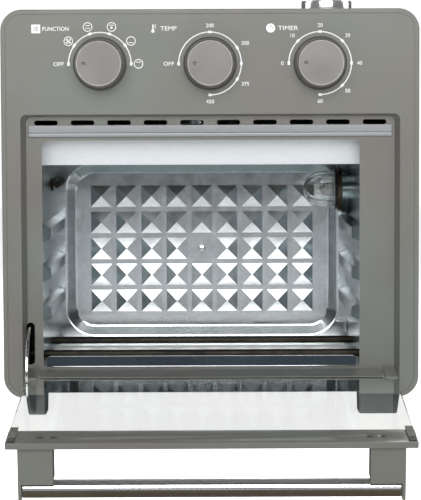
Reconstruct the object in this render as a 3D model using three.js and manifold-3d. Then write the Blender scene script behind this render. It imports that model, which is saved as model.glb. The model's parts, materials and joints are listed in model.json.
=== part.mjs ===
// Countertop toaster oven with its drop-down glass door open. Millimetres, +Z up.
// X runs to the right as the user faces the oven, Y runs into it, and the door opens towards -Y.
// The origin is the centre of the embossed flat on the underside of the base pan.

import * as THREE from "three";
import { mergeVertices } from "three/addons/utils/BufferGeometryUtils.js";
import Module from "manifold-3d";

const wasm = await Module();
wasm.setup();

// ---------------------------------------------------------------- driving dimensions

const gap = 0.3; // clearance between neighbouring pieces
const sheet = 1.2; // sheet-metal thickness

const body = { width: 350, height: 326.5, depth: 265, corner: 18 };
const fascia = { recessDepth: 9, recessSide: 16, recessDraft: 4, recessTop: 87.5, recessCorner: 5 };
const groove = { inset: 3.6, width: 1.1, depth: 0.7 };
const opening = { left: 32.9, right: 49.2, top: 109.5, bottom: 25, corner: 4 };
const skirt = { top: 17 }; // notch under the sill, where the cavity's front flange shows
const slot = { count: 10, length: 20, height: 4.2, pitch: 30.7, drop: 94.5 };
const rail = { drop: 96.9, height: 9.6, sideGap: 2.5, proud: 1.2 };
const armSlot = { inset: 18.8, width: 7, low: 27.6, high: 63.4 };

const foot = { height: 20, length: 34, setBack: 16, taper: 2.6, nearTaper: 0.4, corner: 3, neckInset: 4 };
const footSides = { left: { inset: 15.3, width: 18 }, right: { inset: 12.8, width: 35.6 } };
const pan = { setUp: 3, frontGap: 2, flatWidth: 236, flatDepth: 190 };

const cavity = { depth: 202, wallGap: 3, ceiling: 12, floor: 20 };
const guide = { count: 3, pitch: 34, first: 49, height: 16, crest: 9, reach: 8, front: 26, rear: 3 };
const emboss = { side: 18, top: 44, bottom: 17, corner: 17, draft: 9, depth: 5 };
const pyramid = { columns: 9, rows: 5, share: 0.88, height: 2.8, edgeX: 12, edgeZ: 10.5, raise: 0.9 };
const baffle = { height: 21, setBack: 12, lean: 5, thick: 1 };
const rod = { radius: 3.25, frontDepth: 40, rearDepth: 143, overTray: 1.3, underCeiling: 30 };
const bushing = { radius: 6, length: 9, terminal: 4 };
const backScrew = { radius: 2, head: 3.2, headLength: 2, length: 9 };
const clip = { length: 12, leg: 10, height: 24 };
const probe = { radius: 3, length: 60, leg: 11, height: 155 };
const tray = { setUp: 5, lip: 8.4, sideGap: 2.9, lipCorner: 3, backGap: 5 };
const runner = { width: 8, inset: 40, frontGap: 4, rearGap: 8 };

const lamp = { fromBack: 37, fromFloor: 149, boss: 8, bossRadius: 23, step: 1.4, bore: 15.5 };
const clampRing = { radius: 20.5, length: 3.7, bore: 13 };
const gasket = { radius: 18.6, length: 1.9 };
const dome = { radius: 17.2, length: 28.4, flange: 1.8, wall: 1.6 };
const bulb = { radius: 6.5, neck: 4.5, neckEnd: 5, shoulder: 10, length: 20, tip: 5 };
const holder = { radius: 18, length: 20, tube: 12 };
const fan = { radius: 52, hub: 11, blades: 8, bladeHeight: 9, bladeThick: 1.4, shaft: 3, underCeiling: 6 };
const guard = { ring: 62, bar: 1.8, below: 3, legs: 4 };
const motor = { radius: 32, height: 34 };

const dial = { spread: 92, drop: 45.4, reach: 18, capRadius: 19.8, faceRadius: 18.3 };
const bezel = { radius: 22.3, thick: 2 };
const shaft = { radius: 3, intoKnob: 11, intoControl: 9 };
const control = { width: 40, height: 44, depth: 34, setBack: 4 };
const dot = { radius: 1.4, depth: 0.8, fromCentre: 12.6 };
const sideVent = { count: 6, width: 4, height: 34, pitch: 14, rearInset: 34, drop: 60.5 };
const backVent = { columns: 8, rows: 3, width: 24, height: 3.6, pitchX: 32, pitchZ: 12, drop: 38.5 };
const chimney = { x: 103, fromFront: 100, radius: 22, neck: 14, height: 12, wall: 1.5 };
const gland = { x: 120, height: 46, radius: 7, collar: 10, reach: 9, bore: 3.5 };

const door = { length: 211, thick: 4.8, hingeHeight: 21.5, hingeInset: 4, sideGap: 0.7, openAngle: 97.8 };
const handleRail = { length: 33 };
const hingeRail = { length: 25, shorter: 11, belowHinge: 0.5 };
const glass = { thick: 3, grip: 6 };
const pad = { width: 6.4, length: 26.5, thick: 0.9, fromEdge: 12.5, inset: 0.8 };
const bracket = { width: 9.6, length: 31.5, thick: 2, knuckle: 3, pastDoor: 0.6 };
const pin = { radius: 2 };
const arm = { radius: 36, width: 6, thick: 2, tailAngle: 23 };
const handle = { radius: 7, end: 29.6, standOff: 34.2, fromEdge: 12 };
const post = { width: 26.6, wall: 2.6, plate: 28.5, depth: 18 };
const spring = { radius: 3.2, wire: 0.8, turns: 6, length: 46, hook: 5 };

// ---------------------------------------------------------------- worked-out places

const half = body.width / 2;
const front = -body.depth / 2;
const back = body.depth / 2;
const recessFloor = front + fascia.recessDepth;
const fasciaBack = recessFloor + sheet;
const recessX = half - fascia.recessSide;
const recessZ = body.height - fascia.recessTop;
const open = {
  x0: -half + opening.left,
  x1: half - opening.right,
  z0: opening.bottom,
  z1: body.height - opening.top,
};
const inner = {
  x0: open.x0 - cavity.wallGap,
  x1: open.x1 + cavity.wallGap,
  y0: fasciaBack + gap,
  y1: fasciaBack + cavity.depth,
  z0: cavity.floor,
  z1: open.z1 + cavity.ceiling,
};
const innerX = (inner.x0 + inner.x1) / 2;
const innerY = (inner.y0 + inner.y1) / 2;
const trayZ = cavity.floor + sheet + tray.setUp;
const lowRodZ = trayZ + sheet + rod.overTray + rod.radius;
const highRodZ = inner.z1 - rod.underCeiling;
const dialZ = body.height - dial.drop;
const dialXs = { function: -dial.spread, temperature: 0, timer: dial.spread };
const lampY = inner.y1 - lamp.fromBack;
const lampZ = inner.z0 + lamp.fromFloor;
const fanZ = inner.z1 - sheet - fan.underCeiling - fan.bladeHeight;
const hinge = { y: front + door.hingeInset, z: door.hingeHeight };
const doorX = recessX - fascia.recessDraft - door.sideGap;
const bracketEnd = doorX + bracket.pastDoor;
const chimneyY = front + chimney.fromFront;
const postX = half - handle.end;
const panelArea = {
  x0: inner.x0 + emboss.side,
  x1: inner.x1 - emboss.side,
  z0: inner.z0 + sheet + gap + emboss.bottom,
  z1: inner.z1 - sheet - gap - emboss.top,
};
const panelX = (panelArea.x0 + panelArea.x1) / 2;
const screwZ = (panelArea.z0 + panelArea.z1) / 2 + pyramid.raise;

// ---------------------------------------------------------------- geometry helpers

/** A closed three.js geometry as a manifold solid, for joining and cutting. */
function solid(geometry) {
  const loose = geometry.index ? geometry.toNonIndexed() : geometry;
  const bare = new THREE.BufferGeometry();
  bare.setAttribute("position", loose.getAttribute("position"));
  const merged = mergeVertices(bare, 1e-3);
  const vertProperties = new Float32Array(merged.attributes.position.array);
  const triVerts = new Uint32Array(merged.index.array);
  const made = new wasm.Manifold(new wasm.Mesh({ numProp: 3, vertProperties, triVerts }));
  if (made.volume() > 0) return made;
  const turnedOut = triVerts.slice();
  for (let i = 0; i < turnedOut.length; i += 3) {
    turnedOut[i] = triVerts[i + 1];
    turnedOut[i + 1] = triVerts[i];
  }
  return new wasm.Manifold(new wasm.Mesh({ numProp: 3, vertProperties, triVerts: turnedOut }));
}

/** A manifold solid back as a three.js geometry. */
function geometryOf(made) {
  const mesh = made.getMesh();
  const geometry = new THREE.BufferGeometry();
  geometry.setAttribute("position", new THREE.BufferAttribute(new Float32Array(mesh.vertProperties), 3));
  geometry.setIndex(new THREE.BufferAttribute(new Uint32Array(mesh.triVerts), 1));
  geometry.computeVertexNormals();
  return geometry;
}

/** A rounded rectangle as a Shape, between two corners. */
function roundedRect(x0, y0, x1, y1, r) {
  const shape = new THREE.Shape();
  if (r <= 0) {
    shape.moveTo(x0, y0).lineTo(x1, y0).lineTo(x1, y1).lineTo(x0, y1).closePath();
    return shape;
  }
  shape.absarc(x1 - r, y0 + r, r, -Math.PI / 2, 0);
  shape.absarc(x1 - r, y1 - r, r, 0, Math.PI / 2);
  shape.absarc(x0 + r, y1 - r, r, Math.PI / 2, Math.PI);
  shape.absarc(x0 + r, y0 + r, r, Math.PI, Math.PI * 1.5);
  return shape;
}

function extrude(shape, depth, segments) {
  return new THREE.ExtrudeGeometry(shape, { depth, bevelEnabled: false, curveSegments: segments });
}

/** Plates drawn in (x, z), (x, y) and (y, z), each given thickness along the third axis. */
function facing(shape, y0, y1, segments = 6) {
  return solid(extrude(shape, y1 - y0, segments).rotateX(Math.PI / 2).translate(0, y1, 0));
}

function lying(shape, z0, z1, segments = 6) {
  return solid(extrude(shape, z1 - z0, segments).translate(0, 0, z0));
}

function standing(shape, x0, x1, segments = 6) {
  const turn = new THREE.Matrix4().makeBasis(
    new THREE.Vector3(0, 1, 0),
    new THREE.Vector3(0, 0, 1),
    new THREE.Vector3(1, 0, 0),
  );
  return solid(extrude(shape, x1 - x0, segments).applyMatrix4(turn).translate(x0, 0, 0));
}

function box(x0, y0, z0, x1, y1, z1) {
  const geometry = new THREE.BoxGeometry(x1 - x0, y1 - y0, z1 - z0);
  return solid(geometry.translate((x0 + x1) / 2, (y0 + y1) / 2, (z0 + z1) / 2));
}

const TURNS = {
  x: (geometry) => geometry.rotateZ(-Math.PI / 2),
  y: (geometry) => geometry,
  z: (geometry) => geometry.rotateX(Math.PI / 2),
};

/** A solid of revolution: profile points are [radius, distance along the axis]. */
function turned(axis, at, profile, segments = 24) {
  const points = profile.map(([r, along]) => new THREE.Vector2(r, along));
  const geometry = TURNS[axis](new THREE.LatheGeometry(points, segments));
  return solid(geometry.translate(...at));
}

function rodAlong(axis, at, radius, length, segments = 16) {
  return turned(axis, at, [[0, 0], [radius, 0], [radius, length], [0, length]], segments);
}

/** A closed skin through loops of equally many points: straight sides between them, a fan at each end. */
function loft(loops) {
  const count = loops[0].length;
  const positions = loops.flat().flat();
  const faces = [];
  for (let ring = 0; ring + 1 < loops.length; ring++) {
    for (let i = 0; i < count; i++) {
      const a = ring * count + i;
      const b = ring * count + ((i + 1) % count);
      faces.push(a, b, b + count, a, b + count, a + count);
    }
  }
  const last = (loops.length - 1) * count;
  for (let i = 1; i + 1 < count; i++) {
    faces.push(0, i + 1, i, last, last + i, last + i + 1);
  }
  const geometry = new THREE.BufferGeometry();
  geometry.setAttribute("position", new THREE.Float32BufferAttribute(positions, 3));
  geometry.setIndex(faces);
  return solid(geometry);
}

/** Corner points of a rounded rectangle, walked anticlockwise. */
function corners(x0, y0, x1, y1, r, steps = 3) {
  const shape = roundedRect(x0, y0, x1, y1, r);
  const points = shape.getPoints(steps);
  const first = points[0];
  return points.filter((p, i) => i === 0 || p.distanceTo(points[i - 1]) > 1e-6).filter(
    (p, i) => i === 0 || p.distanceTo(first) > 1e-6,
  );
}

function union(...solids) {
  return wasm.Manifold.union(solids);
}

function cut(whole, pieces) {
  return whole.subtract(wasm.Manifold.union(pieces));
}

/** A wire along a list of points. */
function wire(points, radius, sides, steps) {
  const section = new THREE.Shape(
    Array.from({ length: sides }, (_, i) => {
      const angle = (2 * Math.PI * i) / sides;
      return new THREE.Vector2(radius * Math.cos(angle), radius * Math.sin(angle));
    }),
  );
  const path = new THREE.CatmullRomCurve3(points.map((p) => new THREE.Vector3(...p)));
  return solid(new THREE.ExtrudeGeometry(section, { extrudePath: path, steps, bevelEnabled: false }));
}

// ---------------------------------------------------------------- materials and the assembly

const FINISH = {
  paint: { color: 0x8a8780, roughness: 0.42, metalness: 0.35 },
  darkPaint: { color: 0x55534e, roughness: 0.5, metalness: 0.3 },
  aluminised: { color: 0xb4babe, roughness: 0.32, metalness: 0.9 },
  bright: { color: 0xe2e5e6, roughness: 0.25, metalness: 0.6 },
  chrome: { color: 0xd8dadd, roughness: 0.08, metalness: 1 },
  bronze: { color: 0x9a7a52, roughness: 0.35, metalness: 0.9 },
  heater: { color: 0x2e2b29, roughness: 0.6, metalness: 0.5 },
  tray: { color: 0x27303a, roughness: 0.3, metalness: 0.6 },
  black: { color: 0x161616, roughness: 0.5, metalness: 0 },
  rubber: { color: 0x2b2b2b, roughness: 0.8, metalness: 0 },
  knob: { color: 0x9e9a95, roughness: 0.35, metalness: 0.6 },
  plastic: { color: 0xcfcabd, roughness: 0.5, metalness: 0 },
  glass: { color: 0xe8efee, roughness: 0.03, metalness: 0, transparent: true, opacity: 0.3 },
};

const oven = new THREE.Group();
oven.name = "toaster_oven";
const doorGroup = new THREE.Group();
doorGroup.position.set(0, hinge.y, hinge.z);
doorGroup.rotation.x = THREE.MathUtils.degToRad(door.openAngle);
oven.add(doorGroup);

function addPiece(name, made, finish, group = oven) {
  const mesh = new THREE.Mesh(geometryOf(made), new THREE.MeshStandardMaterial(FINISH[finish]));
  mesh.name = name;
  group.add(mesh);
}

// ---------------------------------------------------------------- casing

/** The drafted pocket that the closed door sits in: widest at the face, open at the bottom. */
function recessCutter(grow) {
  const draft = fascia.recessDraft;
  const outline = (y, x, z) =>
    corners(-x, -body.corner * 2, x, z, fascia.recessCorner).map((p) => [p.x, y, p.y]);
  const overhang = (draft * 2) / fascia.recessDepth;
  return loft([
    outline(front - 2, recessX + grow + overhang, recessZ + grow + overhang / 2),
    outline(recessFloor + grow, recessX - draft + grow, recessZ - draft / 2 + grow),
  ]);
}

function frontPanel() {
  const outline = (inset) =>
    roundedRect(-half + inset, inset, half - inset, body.height - inset, body.corner - inset);
  const ring = outline(groove.inset);
  ring.holes.push(outline(groove.inset + groove.width));
  const hollow = facing(outline(sheet), front + sheet, fasciaBack + 1).subtract(recessCutter(sheet));
  let panel = facing(outline(0), front, fasciaBack)
    .subtract(hollow)
    .subtract(facing(ring, front - 1, front + groove.depth))
    .subtract(recessCutter(0));
  const through = (shape, segments) => facing(shape, front - 1, fasciaBack + 1, segments);
  panel = panel
    .subtract(through(roundedRect(open.x0, open.z0, open.x1, open.z1, opening.corner), 4))
    .subtract(through(roundedRect(open.x0, -1, open.x1, skirt.top, 0), 1));
  const slotX = (-(slot.count - 1) / 2) * slot.pitch;
  const slotZ = body.height - slot.drop;
  for (let i = 0; i < slot.count; i++) {
    const x = slotX + i * slot.pitch;
    const shape = roundedRect(
      x - slot.length / 2,
      slotZ - slot.height / 2,
      x + slot.length / 2,
      slotZ + slot.height / 2,
      slot.height / 2 - 0.01,
    );
    panel = panel.subtract(through(shape, 2));
  }
  const armX = -half + armSlot.inset;
  const armRound = armSlot.width / 2 - 0.01;
  const armHole = roundedRect(armX, armSlot.low, armX + armSlot.width, armSlot.high, armRound);
  panel = panel.subtract(through(armHole, 3));
  for (const x of Object.values(dialXs)) {
    panel = panel.subtract(rodAlong("y", [x, front - 1, dialZ], shaft.radius + 2 * gap, sheet + 2, 12));
  }
  return panel;
}

function trimRail() {
  const halfWidth = recessX - fascia.recessDraft - rail.sideGap;
  const top = body.height - rail.drop;
  const shape = roundedRect(-halfWidth, top - rail.height, halfWidth, top, 1);
  return facing(shape, recessFloor - rail.proud - gap, recessFloor - gap, 2);
}

function outerShell() {
  const y0 = fasciaBack + gap;
  const y1 = back - sheet - gap;
  const ring = roundedRect(-half, 0, half, body.height, body.corner);
  ring.holes.push(roundedRect(-half + sheet, sheet, half - sheet, body.height - sheet, body.corner - sheet));
  const lipX = half - body.corner;
  let shell = lying(roundedRect(-lipX, y0 - 1, lipX, y1 + 1, 0), -1, sheet + 1, 1);
  shell = facing(ring, y0, y1).subtract(shell);
  for (let i = 0; i < sideVent.count; i++) {
    const y = back - sideVent.rearInset - i * sideVent.pitch;
    const low = body.height - sideVent.drop;
    const round = sideVent.width / 2 - 0.01;
    const louvre = roundedRect(y - sideVent.width, low, y, low + sideVent.height, round);
    shell = shell.subtract(standing(louvre, -half - 1, half + 1, 2));
  }
  const neckAt = [chimney.x, chimneyY, body.height - sheet - 1];
  return shell.subtract(rodAlong("z", neckAt, chimney.neck, sheet + 2));
}

function backCover() {
  const plate = roundedRect(-half, 0, half, body.height, body.corner);
  let cover = facing(plate, back - sheet, back);
  const reach = backVent.width / 2;
  for (let column = 0; column < backVent.columns; column++) {
    for (let row = 0; row < backVent.rows; row++) {
      const x = (column - (backVent.columns - 1) / 2) * backVent.pitchX;
      const z = body.height - backVent.drop - row * backVent.pitchZ;
      const cutout = box(x - reach, back - sheet - 1, z, x + reach, back + 1, z + backVent.height);
      cover = cover.subtract(cutout);
    }
  }
  const hole = rodAlong("y", [gland.x, back - sheet - 1, gland.height], gland.radius + gap, sheet + 2);
  return cover.subtract(hole);
}

function basePan() {
  const x = half - body.corner - gap;
  const y0 = fasciaBack + pan.frontGap;
  const y1 = back - sheet - 2 * gap;
  const flat = { x: pan.flatWidth / 2, y: pan.flatDepth / 2 };
  const plate = box(-x, y0, pan.setUp, x, y1, pan.setUp + sheet);
  const boss = box(-flat.x, -flat.y, 0, flat.x, flat.y, pan.setUp + sheet);
  const dish = box(-flat.x + sheet, -flat.y + sheet, sheet, flat.x - sheet, flat.y - sheet, pan.setUp + 9);
  return union(plate, boss).subtract(dish);
}

function footPiece(side, end) {
  const { inset, width } = footSides[side];
  const sign = side === "left" ? -1 : 1;
  const outer = sign * (half - inset);
  const innerEdge = outer - sign * width;
  const [x0, x1] = [Math.min(outer, innerEdge), Math.max(outer, innerEdge)];
  const y0 = end === "front" ? fasciaBack + foot.setBack : back - foot.setBack - foot.length;
  const y1 = y0 + foot.length;
  const taperIn = side === "left" ? [foot.taper, foot.nearTaper] : [foot.nearTaper, foot.taper];
  const loop = (z, a, b, c) =>
    corners(x0 + a, y0 + c, x1 - b, y1 - c, foot.corner, 2).map((p) => [p.x, p.y, z]);
  const block = loft([
    loop(-foot.height, ...taperIn, foot.taper),
    loop(-gap, 0, 0, 0),
  ]);
  const neckX = half - body.corner - foot.corner;
  const { neckInset } = foot;
  const [neckX0, neckX1] = [Math.max(x0 + neckInset / 2, -neckX), Math.min(x1 - neckInset / 2, neckX)];
  const neck = box(neckX0, y0 + neckInset, -1, neckX1, y1 - neckInset, pan.setUp - gap);
  return union(block, neck);
}

// ---------------------------------------------------------------- cavity

/** A side wall with its pressed rack guides and the holes for the heating rods. */
function sideWall(side) {
  const inward = side === "left" ? 1 : -1;
  const face = side === "left" ? inner.x0 : inner.x1;
  const outside = face - inward * sheet;
  const rear = inner.y1 - gap;
  const low = inner.z0 + sheet + gap;
  const high = inner.z1 - sheet - gap;
  const wall = box(Math.min(face, outside), inner.y0, low, Math.max(face, outside), rear, high);
  const guides = [];
  for (let i = 0; i < guide.count; i++) {
    const z = inner.z0 + guide.first + i * guide.pitch;
    const loop = (x, y0, height) => [
      [x, y0, z - height / 2],
      [x, rear - guide.rear, z - height / 2],
      [x, rear - guide.rear, z + height / 2],
      [x, y0, z + height / 2],
    ];
    const y0 = inner.y0 + guide.front;
    const root = loop(face - inward * sheet * 0.4, y0 - guide.reach, guide.height);
    guides.push(loft([root, loop(face + inward * guide.reach, y0, guide.crest)]));
  }
  const holes = [];
  const start = Math.min(face, outside) - 1;
  for (const depth of [rod.frontDepth, rod.rearDepth]) {
    for (const z of [lowRodZ, highRodZ]) {
      holes.push(rodAlong("x", [start, fasciaBack + depth, z], rod.radius + gap, sheet + 2, 12));
    }
  }
  if (side === "left") return cut(union(wall, ...guides), holes);
  const boss = turned("x", [face, lampY, lampZ], [
    [0, sheet * 0.4],
    [lamp.bossRadius, sheet * 0.4],
    [lamp.bossRadius, -lamp.boss / 2],
    [lamp.bossRadius - lamp.step, -lamp.boss / 2],
    [lamp.bossRadius - lamp.step, -lamp.boss],
    [0, -lamp.boss],
  ]);
  holes.push(rodAlong("x", [face - lamp.boss - 1, lampY, lampZ], lamp.bore, lamp.boss + sheet + 2, 24));
  return cut(union(wall, ...guides, boss), holes);
}

function pyramidAt(x, y, z, halfX, halfZ) {
  const corner = (sx, sz) => [x + sx * halfX, y, z + sz * halfZ];
  const points = [corner(-1, -1), corner(1, -1), corner(1, 1), corner(-1, 1), [x, y - pyramid.height, z]];
  const geometry = new THREE.BufferGeometry();
  geometry.setAttribute("position", new THREE.Float32BufferAttribute(points.flat(), 3));
  geometry.setIndex([0, 1, 4, 1, 2, 4, 2, 3, 4, 3, 0, 4, 0, 2, 1, 0, 3, 2]);
  return solid(geometry);
}

/** The pressed back wall: a drafted panel set to the rear, filled with small pyramids but for its centre. */
function cavityBack() {
  const y = inner.y1;
  const z0 = inner.z0 + sheet + gap;
  const z1 = inner.z1 - sheet - gap;
  const outline = (at, grow) =>
    corners(
      panelArea.x0 - grow,
      panelArea.z0 - grow,
      panelArea.x1 + grow,
      panelArea.z1 + grow,
      emboss.corner + grow,
      4,
    ).map((p) => [p.x, at, p.y]);
  const wall = box(inner.x0 - sheet, y, z0, inner.x1 + sheet, y + sheet, z1);
  const dishDepth = emboss.depth + sheet;
  const tub = loft([outline(y + 0.1, emboss.draft + sheet), outline(y + dishDepth, sheet)]);
  const overcut = emboss.draft / emboss.depth;
  const dish = loft([outline(y - 1, emboss.draft + overcut), outline(y + emboss.depth, 0)]);
  const pitchX = (panelArea.x1 - panelArea.x0 - 2 * pyramid.edgeX) / pyramid.columns;
  const pitchZ = (panelArea.z1 - panelArea.z0 - 2 * pyramid.edgeZ) / pyramid.rows;
  const centre = { column: (pyramid.columns - 1) / 2, row: (pyramid.rows - 1) / 2 };
  const pyramids = [];
  for (let column = 0; column < pyramid.columns; column++) {
    for (let row = 0; row < pyramid.rows; row++) {
      if (column === centre.column && row === centre.row) continue;
      const x = panelX + (column - centre.column) * pitchX;
      const z = screwZ + (row - centre.row) * pitchZ;
      const [halfX, halfZ] = [(pitchX * pyramid.share) / 2, (pitchZ * pyramid.share) / 2];
      pyramids.push(pyramidAt(x, y + emboss.depth + 0.2, z, halfX, halfZ));
    }
  }
  const screwHole = rodAlong("y", [panelX, y, screwZ], backScrew.radius + gap, dishDepth + 1, 12);
  return union(union(wall, tub).subtract(dish), ...pyramids).subtract(screwHole);
}

function backWallScrew() {
  const y = inner.y1 + emboss.depth;
  const head = [[0, -gap - backScrew.headLength], [backScrew.head * 0.6, -gap - backScrew.headLength]];
  return turned("y", [panelX, y, screwZ], [
    ...head,
    [backScrew.head, -gap - 0.6],
    [backScrew.head, -gap],
    [backScrew.radius, -gap],
    [backScrew.radius, backScrew.length],
    [0, backScrew.length],
  ], 12);
}

function cavityCeiling() {
  const top = inner.z1;
  const plate = box(inner.x0 - sheet, inner.y0, top - sheet, inner.x1 + sheet, inner.y1 - gap, top);
  return plate.subtract(rodAlong("z", [innerX, innerY, top - sheet - 1], fan.shaft + 1, sheet + 2, 16));
}

/** The floor with two raised runners under the crumb tray and a flange turned down behind the sill. */
function cavityFloor() {
  const low = inner.z0;
  const plate = box(inner.x0 - sheet, inner.y0, low, inner.x1 + sheet, inner.y1 - gap, low + sheet);
  const flange = box(open.x0 - 2, inner.y0, pan.setUp / 2, open.x1 + 2, inner.y0 + sheet, low + sheet);
  const [runnerY0, runnerY1] = [inner.y0 + runner.frontGap, inner.y1 - runner.rearGap];
  const runners = [inner.x0 + runner.inset, inner.x1 - runner.inset].map((x) =>
    box(x - runner.width / 2, runnerY0, low, x + runner.width / 2, runnerY1, trayZ - gap),
  );
  return union(plate, flange, ...runners);
}

/** The bright strip inside the top of the opening that hides the upper rods, hung from the ceiling. */
function upperBaffle() {
  const y = inner.y0 + baffle.setBack;
  const bottom = open.z1 - baffle.height;
  const bend = open.z1 + 4;
  const top = inner.z1 - sheet - gap;
  const section = new THREE.Shape([
    new THREE.Vector2(y + baffle.lean, bottom),
    new THREE.Vector2(y + baffle.lean + baffle.thick, bottom),
    new THREE.Vector2(y + baffle.thick, bend),
    new THREE.Vector2(y + baffle.thick, top),
    new THREE.Vector2(y, top),
    new THREE.Vector2(y, bend),
  ]);
  return standing(section, inner.x0 + gap, inner.x1 - gap);
}

/** A heating rod that runs from side to side, with an insulating bushing outside each wall. */
function heatingRod(depth, z) {
  const y = fasciaBack + depth;
  const start = inner.x0 - sheet - gap - bushing.length;
  const end = inner.x1 + sheet + gap + bushing.length;
  return union(
    rodAlong("x", [start - bushing.terminal, y, z], rod.radius, end - start + 2 * bushing.terminal, 12),
    rodAlong("x", [start, y, z], bushing.radius, bushing.length, 12),
    rodAlong("x", [end - bushing.length, y, z], bushing.radius, bushing.length, 12),
  );
}

/** The crumb tray: a flat sheet that passes over the sill, with a grip lip that stands in the opening. */
function crumbTray() {
  const [x0, x1] = [open.x0 + tray.sideGap, open.x1 - tray.sideGap];
  const lipTop = trayZ + tray.lip;
  const lip = facing(
    roundedRect(x0, trayZ - 2 * tray.lipCorner, x1, lipTop, tray.lipCorner),
    recessFloor,
    recessFloor + sheet,
    3,
  ).subtract(box(x0 - 1, recessFloor - 1, -1, x1 + 1, recessFloor + sheet + 1, trayZ));
  return union(lip, box(x0, recessFloor, trayZ, x1, inner.y1 - tray.backGap, trayZ + sheet));
}

function rearClip() {
  const x = inner.x1 - gap;
  const y = inner.y1 - gap - clip.length;
  const z = inner.z0 + clip.height;
  return union(
    box(x - sheet, y, z - clip.leg, x, y + clip.length, z),
    box(x - clip.leg, y, z - sheet, x, y + clip.length, z),
  );
}

/** The thermostat's sensing bulb, lying along the wall in its bracket. */
function thermostatBulb() {
  const x = inner.x0 + gap;
  const y = inner.y1 - gap - probe.length;
  const z = inner.z0 + probe.height;
  const bracketPlate = box(x, y, z - probe.leg / 2, x + sheet, y + probe.leg, z + probe.leg / 2);
  const holderArm = box(x, y, z - 1, x + probe.radius + 2, y + probe.leg, z + 1);
  const bulbRod = rodAlong("y", [x + probe.radius + 2, y, z], probe.radius, probe.length, 10);
  return union(bracketPlate, holderArm, bulbRod);
}

// ---------------------------------------------------------------- lamp

function lampPieces() {
  const at = [inner.x1, lampY, lampZ];
  const ringFace = -lamp.boss - gap;
  const gasketFace = ringFace - clampRing.length - gap;
  const glassFace = gasketFace - gasket.length - gap;
  const ring = (outer, bore, from, to) =>
    turned("x", at, [[bore, from], [outer, from], [outer, to], [bore, to], [bore, from]]);
  const clamp = ring(clampRing.radius, clampRing.bore, ringFace, ringFace - clampRing.length);
  const seal = ring(gasket.radius, clampRing.bore, gasketFace, gasketFace - gasket.length);
  addPiece("lamp_clamp_ring", clamp, "bronze");
  addPiece("lamp_gasket", seal, "rubber");

  const skin = (radius, length, steps = 5) =>
    Array.from({ length: steps + 1 }, (_, i) => {
      const turn = (Math.PI / 2) * (i / steps);
      const r = i < steps ? radius * Math.cos(turn) : 0;
      return [r, -(length - radius) - radius * Math.sin(turn)];
    });
  const outside = skin(dome.radius, dome.length);
  const inside = skin(dome.radius - dome.wall, dome.length - dome.wall).reverse();
  const bore = dome.radius - dome.wall;
  const glassAt = [inner.x1 + glassFace, lampY, lampZ];
  const profile = [[gasket.radius, 0], [gasket.radius, -dome.flange], [dome.radius, -dome.flange]];
  const glassProfile = [...inside, [bore, 0], ...profile, ...outside];
  addPiece("lamp_glass", turned("x", glassAt, glassProfile), "glass");

  const wallOut = sheet + gap;
  const tubeEnd = -lamp.boss;
  addPiece("lamp_holder", turned("x", at, [
    [0, wallOut + holder.length],
    [holder.radius, wallOut + holder.length],
    [holder.radius, wallOut],
    [holder.tube, wallOut],
    [holder.tube, tubeEnd],
    [0, tubeEnd],
  ]), "plastic");
  addPiece("lamp_bulb", turned("x", at, [
    [0, tubeEnd - gap],
    [bulb.neck, tubeEnd - gap],
    [bulb.neck, tubeEnd - bulb.neckEnd],
    [bulb.radius, tubeEnd - bulb.shoulder],
    [bulb.radius, tubeEnd - bulb.length + bulb.tip],
    [bulb.radius / 2, tubeEnd - bulb.length + 1],
    [0, tubeEnd - bulb.length],
  ], 16), "glass");
}

// ---------------------------------------------------------------- convection fan

function fanPieces() {
  const hub = rodAlong("z", [innerX, innerY, fanZ], fan.hub, fan.bladeHeight, 16);
  const blades = Array.from({ length: fan.blades }, (_, i) => {
    const blade = new THREE.BoxGeometry(fan.radius - fan.hub + 3, fan.bladeThick, fan.bladeHeight);
    blade.translate((fan.radius + fan.hub - 3) / 2, 0, fan.bladeHeight / 2);
    blade.rotateZ((2 * Math.PI * i) / fan.blades);
    return solid(blade.translate(innerX, innerY, fanZ));
  });
  const shaftTop = inner.z1 + gap + motor.height - 5;
  const axle = rodAlong("z", [innerX, innerY, fanZ], fan.shaft, shaftTop - fanZ, 12);
  addPiece("fan_impeller", union(hub, axle, ...blades), "aluminised");

  const motorAt = [innerX, innerY, inner.z1 + gap];
  const can = rodAlong("z", motorAt, motor.radius, motor.height, 24);
  const bore = rodAlong("z", [innerX, innerY, inner.z1 - 1], fan.shaft + gap, motor.height - 3, 12);
  addPiece("fan_motor", can.subtract(bore), "aluminised");

  const ringTop = fanZ - guard.below;
  const bar = guard.bar;
  const ring = turned("z", [innerX, innerY, ringTop], [
    [guard.ring - bar, -bar],
    [guard.ring, -bar],
    [guard.ring, 0],
    [guard.ring - bar, 0],
    [guard.ring - bar, -bar],
  ], 32);
  const reach = guard.ring - bar / 2;
  const ceiling = inner.z1 - sheet - gap;
  const arms = Array.from({ length: guard.legs }, (_, i) => {
    const spoke = new THREE.BoxGeometry(reach, bar, bar).translate(reach / 2, 0, -bar / 2);
    const leg = new THREE.BoxGeometry(bar, bar, ceiling - ringTop + bar);
    leg.translate(reach, 0, (ceiling - ringTop - bar) / 2);
    return [spoke, leg].map((piece) =>
      solid(piece.rotateZ((2 * Math.PI * (i + 0.5)) / guard.legs).translate(innerX, innerY, ringTop)),
    );
  });
  addPiece("fan_guard", union(ring, ...arms.flat()), "chrome");
}

// ---------------------------------------------------------------- controls

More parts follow.
